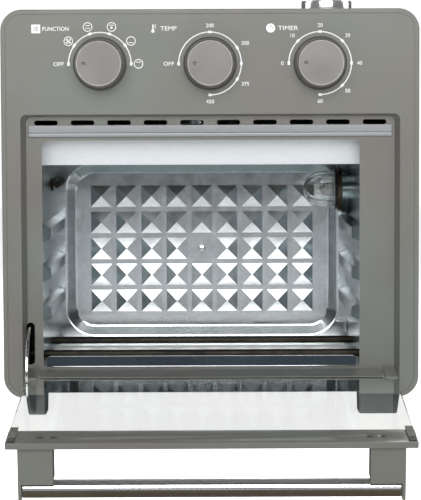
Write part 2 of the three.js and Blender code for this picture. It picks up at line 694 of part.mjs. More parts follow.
/** A knob with its bezel, its shaft and the control behind the panel. */
function controlPieces(name, controlName) {
  const x = dialXs[name];
  const bezelBack = front - gap;
  const bezelFront = bezelBack - bezel.thick;
  addPiece(`${name}_bezel`, turned("y", [x, bezelFront, dialZ], [
    [shaft.radius + 1, 0],
    [bezel.radius, 0],
    [bezel.radius, bezel.thick],
    [shaft.radius + 1, bezel.thick],
    [shaft.radius + 1, 0],
  ], 32), "darkPaint");

  const knobBack = bezelFront - gap;
  const knobFront = knobBack - dial.reach;
  const cap = turned("y", [x, knobFront, dialZ], [
    [0, 0],
    [dial.faceRadius, 0],
    [dial.capRadius, 1.6],
    [dial.capRadius + 0.6, dial.reach],
    [0, dial.reach],
  ], 36);
  const socketDepth = shaft.intoKnob + gap;
  const socket = rodAlong("y", [x, knobBack - socketDepth, dialZ], shaft.radius + gap, socketDepth + 1, 12);
  const mark = rodAlong("y", [x - dot.fromCentre, knobFront - 1, dialZ], dot.radius, dot.depth + 1, 10);
  addPiece(`${name}_knob`, cut(cap, [socket, mark]), "knob");

  const controlFront = front + sheet + control.setBack;
  const shaftFront = knobBack - shaft.intoKnob;
  const shaftLength = controlFront + shaft.intoControl - shaftFront;
  addPiece(`${name}_shaft`, rodAlong("y", [x, shaftFront, dialZ], shaft.radius, shaftLength, 12), "chrome");

  const [w, h] = [control.width / 2, control.height / 2];
  const block = box(x - w, controlFront, dialZ - h, x + w, controlFront + control.depth, dialZ + h);
  const boreLength = shaft.intoControl + 1 + gap;
  const bore = rodAlong("y", [x, controlFront - 1, dialZ], shaft.radius + gap, boreLength, 12);
  addPiece(controlName, block.subtract(bore), "plastic");
}

// ---------------------------------------------------------------- vent cap and cord gland

function exhaustCap() {
  const [r, wall, neck] = [chimney.radius, chimney.wall, chimney.neck - gap];
  const top = chimney.height;
  return turned("z", [chimney.x, chimneyY, body.height], [
    [0, top],
    [r - 2, top - 0.8],
    [r, top - 2.4],
    [r, gap],
    [neck, gap],
    [neck, -chimney.neck],
    [neck - wall, -chimney.neck],
    [neck - wall, gap + wall],
    [r - wall, gap + wall],
    [r - wall, top - 3],
    [0, top - 1.6],
  ], 32);
}

function cordGland() {
  const y = back + gap;
  return turned("y", [gland.x, y, gland.height], [
    [gland.bore, -sheet - 4],
    [gland.radius, -sheet - 4],
    [gland.radius, 0],
    [gland.collar, 0],
    [gland.collar, 2.5],
    [gland.radius, 4],
    [gland.radius - 1, gland.reach],
    [gland.bore, gland.reach],
    [gland.bore, -sheet - 4],
  ], 16);
}

// ---------------------------------------------------------------- door, drawn shut about its hinge axis

const doorFace = door.thick / 2;

/** A rail across the door with a groove for the edge of the glass; the groove is at its low or high side. */
function doorRail(halfWidth, z0, z1, grooveAt) {
  const bar = facing(roundedRect(-halfWidth, z0, halfWidth, z1, 1.5), -doorFace, doorFace, 2);
  const grip = glass.grip + gap;
  const [low, high] = grooveAt === "low" ? [z0 - 1, z0 + grip] : [z1 - grip, z1 + 1];
  const thick = glass.thick / 2 + gap;
  return bar.subtract(box(-halfWidth - 1, -thick, low, halfWidth + 1, thick, high));
}

function doorPieces() {
  const handleRailLow = door.length - handleRail.length;
  const glassLow = hingeRail.length - glass.grip;
  const glassHigh = handleRailLow + glass.grip;
  const glassX = doorX - gap;
  addPiece(
    "door_glass",
    box(-glassX, -glass.thick / 2, glassLow, glassX, glass.thick / 2, glassHigh),
    "glass",
    doorGroup,
  );
  addPiece("door_handle_rail", doorRail(doorX, handleRailLow, door.length, "low"), "paint", doorGroup);
  const hingeRailX = doorX - hingeRail.shorter;
  const lowRail = doorRail(hingeRailX, -hingeRail.belowHinge, hingeRail.length, "high");
  addPiece("door_hinge_rail", lowRail, "paint", doorGroup);

  for (const [side, sign] of [["left", -1], ["right", 1]]) {
    const span = (from, to) => [Math.min(sign * from, sign * to), Math.max(sign * from, sign * to)];
    const padX = span(doorX - pad.inset - pad.width, doorX - pad.inset);
    const padHigh = door.length - pad.fromEdge;
    addPiece(
      `door_pad_${side}`,
      box(padX[0], doorFace + gap, padHigh - pad.length, padX[1], doorFace + gap + pad.thick, padHigh),
      "rubber",
      doorGroup,
    );

    const bracketX = span(bracketEnd - bracket.width, bracketEnd);
    const plateY = glass.thick / 2 + gap;
    const plate = box(bracketX[0], plateY, 0, bracketX[1], plateY + bracket.thick, bracket.length);
    const knuckle = rodAlong("x", [bracketX[0], 0, 0], bracket.knuckle, bracket.width, 16);
    const bore = rodAlong("x", [bracketX[0] - 1, 0, 0], pin.radius + gap, bracket.width + 2, 12);
    addPiece(`door_hinge_bracket_${side}`, union(plate, knuckle).subtract(bore), "darkPaint", doorGroup);

    const outer = postX;
    const [x0, x1] = span(outer - post.width, outer);
    const cheek = span(outer - post.wall, outer);
    const innerCheek = span(outer - post.width, outer - post.width + post.wall);
    const outFace = -doorFace - gap;
    const barY = -doorFace - handle.standOff;
    const barZ = door.length - handle.fromEdge;
    const [low, high] = [barZ - post.depth / 2, barZ + post.depth / 2];
    addPiece(`handle_post_${side}`, union(
      box(x0, outFace - post.wall, low, x1, outFace, high),
      box(x0, outFace - post.plate, high - post.wall, x1, outFace, high),
      box(cheek[0], barY - handle.radius - 0.6, low, cheek[1], outFace, high),
      box(innerCheek[0], barY + handle.radius + gap, low, innerCheek[1], outFace, high),
    ), "paint", doorGroup);
  }
  const barX = postX - post.wall - gap;
  const barAt = [-barX, -doorFace - handle.standOff, door.length - handle.fromEdge];
  addPiece("handle_bar", rodAlong("x", barAt, handle.radius, 2 * barX, 24), "chrome", doorGroup);
}

/** The curved arm that guides the door through the slot, concentric with the hinge. */
function doorArm() {
  const [outer, innerR] = [arm.radius + arm.width / 2, arm.radius - arm.width / 2];
  const start = Math.acos((glass.thick / 2 + gap) / arm.radius);
  const end = -THREE.MathUtils.degToRad(arm.tailAngle);
  const shape = new THREE.Shape();
  shape.absarc(0, 0, outer, end, start, false);
  shape.absarc(0, 0, innerR, start, end, true);
  const x = -half + armSlot.inset + armSlot.width / 2;
  return standing(shape, x - arm.thick / 2, x + arm.thick / 2, 14);
}

function hingePin(side) {
  const sign = side === "left" ? -1 : 1;
  const from = bracketEnd - bracket.width;
  const wallX = recessX - (fascia.recessDraft * (door.hingeInset + pin.radius)) / fascia.recessDepth;
  const length = wallX - gap - from;
  const x = sign < 0 ? -from - length : from;
  return rodAlong("x", [x, hinge.y, hinge.z], pin.radius, length, 12);
}

/** The coil spring behind the fascia that balances the door. */
function doorSpring() {
  const x = -half + armSlot.inset - spring.radius - 2;
  const y0 = fasciaBack + gap + spring.hook;
  const z = hinge.z + arm.radius - 4;
  const perTurn = 6;
  const points = [[x, y0 - spring.hook + 1, z]];
  for (let i = 0; i <= spring.turns * perTurn; i++) {
    const turn = (2 * Math.PI * i) / perTurn;
    const along = y0 + (spring.length * i) / (spring.turns * perTurn);
    points.push([x + spring.radius * Math.cos(turn), along, z + spring.radius * Math.sin(turn)]);
  }
  points.push([x, y0 + spring.length + spring.hook, z]);
  return wire(points, spring.wire, 4, points.length);
}

// ---------------------------------------------------------------- assembly

addPiece("front_panel", frontPanel(), "paint");
addPiece("outer_shell", outerShell(), "paint");
addPiece("back_cover", backCover(), "paint");
addPiece("base_pan", basePan(), "darkPaint");
for (const end of ["front", "rear"]) {
  for (const side of ["left", "right"]) {
    addPiece(`foot_${end}_${side}`, footPiece(side, end), "rubber");
  }
}
addPiece("door_seal_rail", trimRail(), "bright");
addPiece("cavity_left_wall", sideWall("left"), "aluminised");
addPiece("cavity_right_wall", sideWall("right"), "aluminised");
addPiece("cavity_back_wall", cavityBack(), "aluminised");
addPiece("cavity_ceiling", cavityCeiling(), "aluminised");
addPiece("cavity_floor", cavityFloor(), "aluminised");
addPiece("back_wall_screw", backWallScrew(), "chrome");
addPiece("upper_baffle", upperBaffle(), "bright");
addPiece("heater_lower_front", heatingRod(rod.frontDepth, lowRodZ), "heater");
addPiece("heater_lower_rear", heatingRod(rod.rearDepth, lowRodZ), "heater");
addPiece("heater_upper_front", heatingRod(rod.frontDepth, highRodZ), "heater");
addPiece("heater_upper_rear", heatingRod(rod.rearDepth, highRodZ), "heater");
addPiece("crumb_tray", crumbTray(), "tray");
addPiece("rear_clip", rearClip(), "chrome");
addPiece("thermostat_bulb", thermostatBulb(), "heater");
lampPieces();
fanPieces();
controlPieces("function", "function_switch");
controlPieces("temperature", "thermostat");
controlPieces("timer", "timer_unit");
addPiece("exhaust_cap", exhaustCap(), "chrome");
addPiece("cord_gland", cordGland(), "black");
doorPieces();
addPiece("door_arm", doorArm(), "chrome", doorGroup);
addPiece("hinge_pin_left", hingePin("left"), "chrome");
addPiece("hinge_pin_right", hingePin("right"), "chrome");
addPiece("door_spring", doorSpring(), "chrome");

export default oven;
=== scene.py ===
import json
import math

import bpy
from mathutils import Euler, Matrix, Vector

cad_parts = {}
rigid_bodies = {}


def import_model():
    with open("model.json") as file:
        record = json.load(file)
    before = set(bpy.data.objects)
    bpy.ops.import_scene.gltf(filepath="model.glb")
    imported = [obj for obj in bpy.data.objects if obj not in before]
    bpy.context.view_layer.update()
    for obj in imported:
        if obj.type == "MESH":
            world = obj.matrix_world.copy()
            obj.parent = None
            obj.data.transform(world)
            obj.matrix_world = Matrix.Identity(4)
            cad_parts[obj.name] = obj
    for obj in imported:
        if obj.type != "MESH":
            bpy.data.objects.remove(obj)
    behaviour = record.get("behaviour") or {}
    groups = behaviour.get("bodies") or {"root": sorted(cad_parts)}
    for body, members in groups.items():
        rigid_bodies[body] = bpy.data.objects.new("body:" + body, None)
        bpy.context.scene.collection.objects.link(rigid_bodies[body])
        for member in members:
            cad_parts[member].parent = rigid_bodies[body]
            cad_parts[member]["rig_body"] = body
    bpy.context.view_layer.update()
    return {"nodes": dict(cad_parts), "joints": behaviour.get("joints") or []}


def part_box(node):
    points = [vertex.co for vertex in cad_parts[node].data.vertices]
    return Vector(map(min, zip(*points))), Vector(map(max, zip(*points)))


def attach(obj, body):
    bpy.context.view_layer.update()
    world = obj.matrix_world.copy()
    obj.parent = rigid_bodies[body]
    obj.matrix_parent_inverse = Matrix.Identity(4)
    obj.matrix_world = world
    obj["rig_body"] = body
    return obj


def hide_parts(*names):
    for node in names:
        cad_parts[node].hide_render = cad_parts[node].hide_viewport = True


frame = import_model()
nodes = frame["nodes"]

# ---------------------------------------------------------------- studio
# A pale display block on a pale floor. The block ends behind the open door, whose handle hangs lower
# than the feet. One large softbox stands above and in front, with weaker panels at the sides and behind.

scene = bpy.context.scene
scene.view_settings.view_transform = "Standard"

MM = 0.001
CAMERA_PLACE = Vector((-1.33, -1835.8, 242.1)) * MM
CAMERA_DOWN = math.radians(3.933)
CAMERA_RIGHT = math.radians(0.038)
CAMERA_ROLL = math.radians(0.229)
CAMERA_LENS = 146.29


def new_piece(name, data):
    """An object for a mesh, a light or a camera, linked into the scene."""
    made = bpy.data.objects.new(name, data)
    scene.collection.objects.link(made)
    return made


camera = new_piece("product_camera", bpy.data.cameras.new("product_camera"))
camera.data.lens = CAMERA_LENS
camera.data.clip_end = 50
aim = Euler((math.pi / 2 - CAMERA_DOWN, 0, -CAMERA_RIGHT)).to_matrix().to_4x4()
camera.matrix_world = Matrix.Translation(CAMERA_PLACE) @ aim @ Matrix.Rotation(-CAMERA_ROLL, 4, "Z")
scene.camera = camera


def add_node(tree, kind, inputs=None, **settings):
    """Adds a node. Its inputs are given as values, or as the output sockets that feed them."""
    made = tree.nodes.new(kind)
    for name, value in settings.items():
        setattr(made, name, value)
    for name, value in (inputs or {}).items():
        if isinstance(value, bpy.types.NodeSocket):
            tree.links.new(value, made.inputs[name])
        else:
            made.inputs[name].default_value = value
    return made


def mapped(tree, value, low, high, from_low=0.0, from_high=1.0):
    """A value moved from one range to another."""
    span = {"Value": value, "From Min": from_low, "From Max": from_high, "To Min": low, "To Max": high}
    return add_node(tree, "ShaderNodeMapRange", span).outputs["Result"]


def mixed(tree, share, first, second, **settings):
    """A colour between two others."""
    inputs = {"Factor": share, "A": first, "B": second}
    return add_node(tree, "ShaderNodeMix", inputs, data_type="RGBA", **settings).outputs["Result"]


def switched(tree, chance, first, second):
    """One shader or, by a chance from 0 to 1, the other."""
    return add_node(tree, "ShaderNodeMixShader", {0: chance, 1: first, 2: second}).outputs["Shader"]


def ramp(tree, value, stops):
    """The colour that a value picks from a row of (place, colour) stops."""
    made = add_node(tree, "ShaderNodeValToRGB", {"Fac": value})
    elements = made.color_ramp.elements
    for number, (at, colour) in enumerate(stops):
        mark = elements[number] if number < 2 else elements.new(at)
        mark.position = at
        mark.color = colour
    return made.outputs["Color"]


def new_finish(name, **constants):
    """A material with a Principled shader. Constants are set on the shader's own sockets."""
    material = bpy.data.materials.new(name)
    material.use_nodes = True
    shader = material.node_tree.nodes["Principled BSDF"]
    for label, value in constants.items():
        shader.inputs[label.replace("_", " ")].default_value = value
    place = material.node_tree.nodes.new("ShaderNodeTexCoord").outputs["Object"]
    return material, material.node_tree, shader, place


def new_effect(name, numbers, results):
    """An empty node group with a Vector input, number inputs and number outputs."""
    tree = bpy.data.node_groups.new(name, "ShaderNodeTree")
    tree.interface.new_socket("Vector", in_out="INPUT", socket_type="NodeSocketVector")
    for label, value in numbers.items():
        socket = tree.interface.new_socket(label, in_out="INPUT", socket_type="NodeSocketFloat")
        socket.default_value = value
    for label in results:
        tree.interface.new_socket(label, in_out="OUTPUT", socket_type="NodeSocketFloat")
    return tree, tree.nodes.new("NodeGroupInput"), tree.nodes.new("NodeGroupOutput")


def place_effect(tree, effect, place, **numbers):
    """Places an effect group in a material, with this material's own values."""
    made = add_node(tree, "ShaderNodeGroup", node_tree=effect)
    tree.links.new(place, made.inputs["Vector"])
    for label, value in numbers.items():
        made.inputs[label.replace("_", " ")].default_value = value
    return made.outputs


# Slow unevenness of a surface, from Low to High: handling, fading, wiping.
mottle, group_in, group_out = new_effect("mottle", {"Scale": 20, "Low": 0, "High": 1}, ["Value"])
noise = add_node(
    mottle,
    "ShaderNodeTexNoise",
    {"Vector": group_in.outputs["Vector"], "Scale": group_in.outputs["Scale"], "Detail": 3.0},
)
spread = mapped(mottle, noise.outputs["Fac"], group_in.outputs["Low"], group_in.outputs["High"], 0.35, 0.65)
mottle.links.new(spread, group_out.inputs["Value"])


def uneven_gloss(tree, shader, place, scale, low, high):
    """Roughness that wanders slowly between two values."""
    value = place_effect(tree, mottle, place, Scale=scale, Low=low, High=high)["Value"]
    tree.links.new(value, shader.inputs["Roughness"])


def uneven_grey(tree, shader, place, scale, low, high):
    """A grey base colour that wanders slowly between two values."""
    value = place_effect(tree, mottle, place, Scale=scale, Low=low, High=high)["Value"]
    grey = add_node(tree, "ShaderNodeCombineColor", {"Red": value, "Green": value, "Blue": value})
    tree.links.new(grey.outputs["Color"], shader.inputs["Base Color"])
    return grey.outputs["Color"]


def fine_bump(tree, shader, place, scale, detail, strength, distance):
    """Fine noise in the shading only, too small to be a shape."""
    noise = add_node(tree, "ShaderNodeTexNoise", {"Vector": place, "Scale": scale, "Detail": detail})
    height = {"Strength": strength, "Distance": distance, "Height": noise.outputs["Fac"]}
    bump = add_node(tree, "ShaderNodeBump", height)
    tree.links.new(bump.outputs["Normal"], shader.inputs["Normal"])


# Lighter paint along edges, partly where it is thin and scuffed and partly a painted highlight where edges
# catch the light.
edge_wear_and_highlight, group_in, group_out = new_effect("edge wear and highlight", {"Amount": 0.5}, ["Mask"])
shape = add_node(edge_wear_and_highlight, "ShaderNodeNewGeometry")
eased = add_node(edge_wear_and_highlight, "ShaderNodeBevel", {"Radius": 0.7 * MM})
turned = add_node(
    edge_wear_and_highlight,
    "ShaderNodeVectorMath",
    {0: eased.outputs["Normal"], 1: shape.outputs["Normal"]},
    operation="DOT_PRODUCT",
)
patchy = add_node(
    edge_wear_and_highlight, "ShaderNodeTexNoise", {"Vector": group_in.outputs["Vector"], "Scale": 90.0, "Detail": 4.0}
)
ridge = mapped(edge_wear_and_highlight, turned.outputs["Value"], 0.0, 1.4, 0.99, 0.9)
rubbed_and_lit = add_node(edge_wear_and_highlight, "ShaderNodeMath", {0: ridge, 1: patchy.outputs["Fac"]}, operation="MULTIPLY")
scaled = add_node(
    edge_wear_and_highlight,
    "ShaderNodeMath",
    {0: rubbed_and_lit.outputs["Value"], 1: group_in.outputs["Amount"]},
    operation="MULTIPLY",
    use_clamp=True,
)
edge_wear_and_highlight.links.new(scaled.outputs["Value"], group_out.inputs["Mask"])

floor_finish, tree, shader, place = new_finish("pale_floor", Roughness=0.75)
grey = uneven_grey(tree, shader, place, 1.5, 0.86, 0.9)
tree.links.new(grey, shader.inputs["Emission Color"])
shader.inputs["Emission Strength"].default_value = 0.8


def only(piece):
    """Leaves one piece selected and active, in object mode."""
    if bpy.context.object and bpy.context.object.mode != "OBJECT":
        bpy.ops.object.mode_set(mode="OBJECT")
    bpy.ops.object.select_all(action="DESELECT")
    piece.select_set(True)
    bpy.context.view_layer.objects.active = piece


def smoothed(piece, angle=32):
    """Smooths the shading of a piece across edges shallower than an angle."""
    only(piece)
    bpy.ops.object.shade_smooth_by_angle(angle=math.radians(angle))


def box_between(name, low, high):
    """A cube primitive between two corners in metres, its place held in its mesh."""
    bpy.ops.object.select_all(action="DESELECT")
    size = Vector(high) - Vector(low)
    bpy.ops.mesh.primitive_cube_add(size=1, location=(Vector(low) + Vector(high)) / 2)
    piece = bpy.context.object
    piece.name = name
    piece.scale = size
    bpy.ops.object.transform_apply(location=True, rotation=True, scale=True)
    return piece


def bevelled(piece, width, segments=2, angle=35):
    """Eases the sharp edges of a piece with a bevel and leaves it smooth across shallow angles."""
    only(piece)
    bevel = piece.modifiers.new("eased edges", "BEVEL")
    bevel.width = width
    bevel.segments = segments
    bevel.limit_method = "ANGLE"
    bevel.angle_limit = math.radians(angle)
    bpy.ops.object.modifier_apply(modifier=bevel.name)
    smoothed(piece, 40)
    return levelled(piece)


def levelled(piece):
    """Lets each large flat face set the shading along its edges."""
    only(piece)
    level = piece.modifiers.new("flat faces stay flat", "WEIGHTED_NORMAL")
    level.keep_sharp = True
    bpy.ops.object.modifier_apply(modifier=level.name)
    return piece


FEET_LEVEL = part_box("foot_rear_left")[0].z
FLOOR_LEVEL = FEET_LEVEL - 110 * MM
BLOCK_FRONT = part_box("foot_front_left")[0].y - 12 * MM
block = box_between("display_block", (-0.26, BLOCK_FRONT, FLOOR_LEVEL), (0.26, 0.2, FEET_LEVEL))
bevelled(block, 3 * MM, 3)
floor = box_between("floor", (-6, -6, FLOOR_LEVEL - 0.02), (6, 6, FLOOR_LEVEL))
bevelled(floor, 5 * MM)

world = bpy.data.worlds.new("studio_white")
scene.world = world
world.use_nodes = True
sky = world.node_tree
SEEN_STRENGTH = 1.05
LIGHT_STRENGTH = 0.8
MIRRORED_STRENGTH = 0.14
seen = sky.nodes["Background"]
seen.inputs["Color"].default_value = (1, 1, 1, 1)
seen.inputs["Strength"].default_value = SEEN_STRENGTH
sky_place = sky.nodes.new("ShaderNodeTexCoord").outputs["Generated"]
heading = add_node(sky, "ShaderNodeSeparateXYZ", {0: sky_place})
greys = [(at, (0.95 * level, 0.98 * level, level, 1)) for at, level in ((0.0, 0.22), (0.6, 0.3), (1.0, 0.34))]
shade = ramp(sky, heading.outputs["Z"], greys)
ray = add_node(sky, "ShaderNodeLightPath")
strength = mapped(sky, ray.outputs["Is Glossy Ray"], LIGHT_STRENGTH, MIRRORED_STRENGTH)
lighting = add_node(sky, "ShaderNodeBackground", {"Color": shade, "Strength": strength})
both = lighting.outputs["Background"], seen.outputs["Background"]
chosen = switched(sky, ray.outputs["Is Camera Ray"], *both)
sky.links.new(chosen, sky.nodes["World Output"].inputs["Surface"])


def softbox(name, at, towards, size, power, tint=(1, 1, 1)):
    """A rectangular area light at a place, turned towards another."""
    data = bpy.data.lights.new(name, "AREA")
    data.shape = "RECTANGLE"
    data.size, data.size_y = size
    data.energy = power
    data.color = tint
    light = new_piece(name, data)
    light.visible_camera = False
    light.location = at
    light.rotation_euler = (Vector(towards) - Vector(at)).to_track_quat("-Z", "Y").to_euler()
    return light


softbox("key_softbox", (-0.1, -2.4, 1.21), (0, 0, 0.1), (2.6, 1.5), 55)
softbox("left_panel", (-1.9, 0.3, 0.9), (0, 0, 0.15), (1.2, 1.4), 12, (0.97, 0.98, 1))
softbox("right_panel", (1.9, 0.3, 0.9), (0, 0, 0.15), (1.2, 1.4), 12, (1, 0.99, 0.97))
softbox("rear_top_fill", (0.3, 2.0, 1.3), (0, 0, 0.1), (1.8, 1.2), 22)

# A dark card lies below the front edge of the door, out of the camera's sight, to give the bright
# metal something to reflect.
flag = box_between(
    "dark_card",
    (-0.7, -0.85, FLOOR_LEVEL + 2 * MM),
    (0.7, BLOCK_FRONT - MM, FLOOR_LEVEL + 4 * MM),
)
bevelled(flag, 0.5 * MM)
card_finish, tree, shader, place = new_finish("dark_card", Roughness=0.9)
tone = place_effect(tree, mottle, place, Scale=3)["Value"]
brown = mixed(tree, tone, (0.07, 0.05, 0.03, 1), (0.1, 0.08, 0.05, 1))
tree.links.new(brown, shader.inputs["Base Color"])
flag.data.materials.append(card_finish)
flag.visible_camera = False
flag.visible_diffuse = False
flag.visible_shadow = False
flag.visible_transmission = False

# Painted reflections: metal that mirrors the block sees a dark painted glow, and metal that mirrors the
# floor sees a painted glow that fades with distance. Through the glass door both show one even painted pale
# grey glow.
FADE_FAR = -5.5
FADE_NEAR = -1.4
GLASS_LOOK_STRENGTH = 1.13
for staged, near, far in ((block, 0.035, 0.03), (floor, 0.8, 0.05)):
    staged_finish = floor_finish.copy()
    staged_finish.name = staged.name + "_finish"
    staged.data.materials.append(staged_finish)
    tree = staged_finish.node_tree
    ray = add_node(tree, "ShaderNodeLightPath")
    place = tree.nodes.new("ShaderNodeTexCoord").outputs["Object"]
    spot = add_node(tree, "ShaderNodeSeparateXYZ", {0: place})
    fade = mapped(tree, spot.outputs["Y"], far, near, FADE_FAR, FADE_NEAR)
    painted_mirror_glow = {"Color": (0.94, 0.97, 1.0, 1), "Strength": fade}
    painted_glass_glow = {"Color": (0.95, 0.93, 0.93, 1), "Strength": GLASS_LOOK_STRENGTH}
    mirrored = add_node(
        tree,
        "ShaderNodeMath",
        {0: ray.outputs["Is Glossy Ray"], 1: ray.outputs["Is Transmission Ray"]},
        operation="SUBTRACT",
        use_clamp=True,
    )
    surface = tree.nodes["Principled BSDF"].outputs["BSDF"]
    looks = (mirrored.outputs["Value"], painted_mirror_glow), (ray.outputs["Is Transmission Ray"], painted_glass_glow)
    for chance, look in looks:
        glow = add_node(tree, "ShaderNodeEmission", look).outputs["Emission"]
        surface = switched(tree, chance, surface, glow)
    tree.links.new(surface, tree.nodes["Material Output"].inputs["Surface"])

# ---------------------------------------------------------------- casing
# Steel sheet, pressed and folded, sprayed warm grey with a fine metallic paint and stoved. The front
# is one pressing with a rolled rim and a drafted pocket for the door. Screws at the back hold the rest.


def rides_for(piece, name):
    """Makes a piece stand for a CAD node, on the same body, and hides the CAD node."""
    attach(piece, nodes[name]["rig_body"])
    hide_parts(name)
    return piece


def made_for(piece, name, finish):
    """Gives a newly made piece its finish, and lets it stand for a CAD node."""
    piece.data.materials.append(finish)
    return rides_for(piece, name)


def copied(name):
    """A CAD piece's mesh as a new object, its loose triangles merged into flat faces."""
    piece = new_piece(name + "_finished", nodes[name].data.copy())
    piece.data.materials.clear()
    only(piece)
    bpy.ops.mesh.customdata_custom_splitnormals_clear()
    bpy.ops.object.mode_set(mode="EDIT")
    bpy.ops.mesh.select_all(action="SELECT")
    bpy.ops.mesh.remove_doubles(threshold=2e-6)
    bpy.ops.mesh.dissolve_limited(angle_limit=math.radians(0.6))
    bpy.ops.object.mode_set(mode="OBJECT")
    return rides_for(piece, name)


def dressed(name, finish, width, segments=2, angle=35):
    """A CAD piece with its edges eased and a finish on it."""
    piece = bevelled(copied(name), width, segments, angle)
    piece.data.materials.append(finish)
    return piece


def choose(piece, kind, wanted):
    """Opens a piece in edit mode with the faces or edges that pass a test selected."""
    only(piece)
    bpy.ops.object.mode_set(mode="EDIT")
    bpy.ops.mesh.select_mode(type=kind)
    bpy.ops.mesh.select_all(action="DESELECT")
    bpy.ops.object.mode_set(mode="OBJECT")
    mesh = piece.data
    if kind == "FACE":
        for face in mesh.polygons:
            face.select = wanted(face.center, face.normal)
    else:
        for edge in mesh.edges:
            edge.select = wanted(*(mesh.vertices[i].co for i in edge.vertices))
    bpy.ops.object.mode_set(mode="EDIT")


def paint_finish(name, warm, cool, gloss, metal=0.25, **constants):
    """Stoved metallic paint: slow drift of colour, fine flake, orange peel and lighter edges, part wear and
    part painted highlight.
    """
    finish, tree, shader, place = new_finish(name, Metallic=metal, **constants)
    drift = place_effect(tree, mottle, place, Scale=7)["Value"]
    base = mixed(tree, drift, warm, cool)
    flake = add_node(tree, "ShaderNodeTexNoise", {"Vector": place, "Scale": 2600.0, "Detail": 1.0})
    grain = mapped(tree, flake.outputs["Fac"], 0.95, 1.05, 0.3, 0.7)
    flaked = mixed(tree, 1.0, base, grain, blend_type="MULTIPLY")
    rub_and_highlight = place_effect(tree, edge_wear_and_highlight, place, Amount=0.4)["Mask"]
    light = tuple(min(1, 1.7 * c) for c in warm[:3]) + (1,)
    tree.links.new(mixed(tree, rub_and_highlight, flaked, light), shader.inputs["Base Color"])
    uneven_gloss(tree, shader, place, 28, gloss - 0.05, gloss + 0.05)
    fine_bump(tree, shader, place, 700.0, 2.0, 0.12, 0.2 * MM)
    return finish


WARM_GREY = (0.158, 0.15, 0.136, 1)
COOL_GREY = (0.16, 0.17, 0.151, 1)
casing_paint = paint_finish("painted_steel", WARM_GREY, COOL_GREY, 0.4, Coat_Weight=0.12, Coat_Roughness=0.2)
# Dark paint; on the knob bezels and the handle screws it also stands as painted shade.
dark_paint_and_shade = paint_finish("dark_painted_steel", (0.06, 0.057, 0.052, 1), (0.07, 0.07, 0.066, 1), 0.42, 0.2)

front_low, front_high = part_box("front_panel")
CASE_CORNER = 18 * MM
RIM_ROUND = 1.1 * MM


def inside_rim(x, z):
    """How far a point of the front is inside the casing's rounded outline."""
    half = front_high.x
    across = abs(x) - (half - CASE_CORNER)
    middle = (front_low.z + front_high.z) / 2
    up = abs(z - middle) - ((front_high.z - front_low.z) / 2 - CASE_CORNER)
    outside = math.hypot(max(across, 0), max(up, 0)) + min(max(across, up), 0)
    return CASE_CORNER - outside


def on_rim(a, b):
    """True for an edge of the front face that follows the casing's outline."""
    return all(abs(p.y - front_low.y) < 1e-5 and inside_rim(p.x, p.z) < 2e-5 for p in (a, b))


front = copied("front_panel")
choose(front, "EDGE", on_rim)
bpy.ops.mesh.bevel(offset=RIM_ROUND, segments=3, affect="EDGES")
bevelled(front, 0.35 * MM, 2)
broad_face = max(front.data.polygons, key=lambda face: face.area)
broad_outline = set(broad_face.edge_keys)
for edge in front.data.edges:
    edge.use_edge_sharp = edge.use_edge_sharp or edge.key in broad_outline
levelled(front)
front.data.materials.append(casing_paint)

for name in ("outer_shell", "back_cover"):
    dressed(name, casing_paint, 0.3 * MM)
dressed("base_pan", dark_paint_and_shade, 0.4 * MM)

# ---------------------------------------------------------------- feet
# Moulded feet, tapered towards the ground and clipped into the base pan. Their soft plastic is dark,
# with a satin skin that shows scuffs near the ground.

foot_finish, tree, shader, place = new_finish("foot_rubber", Specular_IOR_Level=0.45)
height = add_node(tree, "ShaderNodeSeparateXYZ", {0: place})
SCUFF_HEIGHT = 8 * MM
scuff = mapped(tree, height.outputs["Z"], 1.0, 0.0, FEET_LEVEL, FEET_LEVEL + SCUFF_HEIGHT)
patches = place_effect(tree, mottle, place, Scale=160, Low=0.0, High=0.6)["Value"]
scuffed = add_node(tree, "ShaderNodeMath", {0: scuff, 1: patches}, operation="MULTIPLY")
skin = mixed(tree, scuffed.outputs["Value"], (0.045, 0.05, 0.055, 1), (0.12, 0.12, 0.12, 1))
tree.links.new(skin, shader.inputs["Base Color"])
uneven_gloss(tree, shader, place, 60, 0.34, 0.52)
for end in ("front", "rear"):
    for side in ("left", "right"):
        dressed(f"foot_{end}_{side}", foot_finish, 0.9 * MM, 3)

# ---------------------------------------------------------------- cavity
# Aluminised steel liner: two side walls with pressed rack guides, a pressed back wall with a field of
# small pyramids, a ceiling and a floor, folded and spot-welded. The skin is bright, with a fine spangle;
# the side walls and the strip above the pyramids get a darker copy of it, a painted shade.


def steel_finish(name, colour, gloss, spangle=0.05, grain=(1.0, 1.0, 1.0), tint=0.0, metal=1.0):
    """Bare or plated sheet: spangle, drawn grain, handling marks and a touch of heat colour."""
    finish, tree, shader, place = new_finish(name, Metallic=metal)
    cells = add_node(tree, "ShaderNodeTexVoronoi", {"Vector": place, "Scale": 420.0})
    shade = add_node(tree, "ShaderNodeSeparateColor", {"Color": cells.outputs["Color"]})
    spread = mapped(tree, shade.outputs["Red"], 1.0 - spangle, 1.0 + spangle)
    spangled = mixed(tree, 1.0, colour, spread, blend_type="MULTIPLY")
    warmth = place_effect(tree, mottle, place, Scale=14, Low=0.0, High=tint)["Value"]
    heated = mixed(tree, warmth, spangled, (0.42, 0.33, 0.2, 1))
    tree.links.new(heated, shader.inputs["Base Color"])
    drawn = add_node(tree, "ShaderNodeMapping", {"Vector": place, "Scale": grain}).outputs["Vector"]
    uneven_gloss(tree, shader, drawn, 90, gloss - 0.03, gloss + 0.03)
    fine_bump(tree, shader, drawn, 300.0, 3.0, 0.03, 0.2 * MM)
    return finish


liner = steel_finish("aluminised_steel", (0.78, 0.82, 0.84, 1), 0.2, tint=0.04)
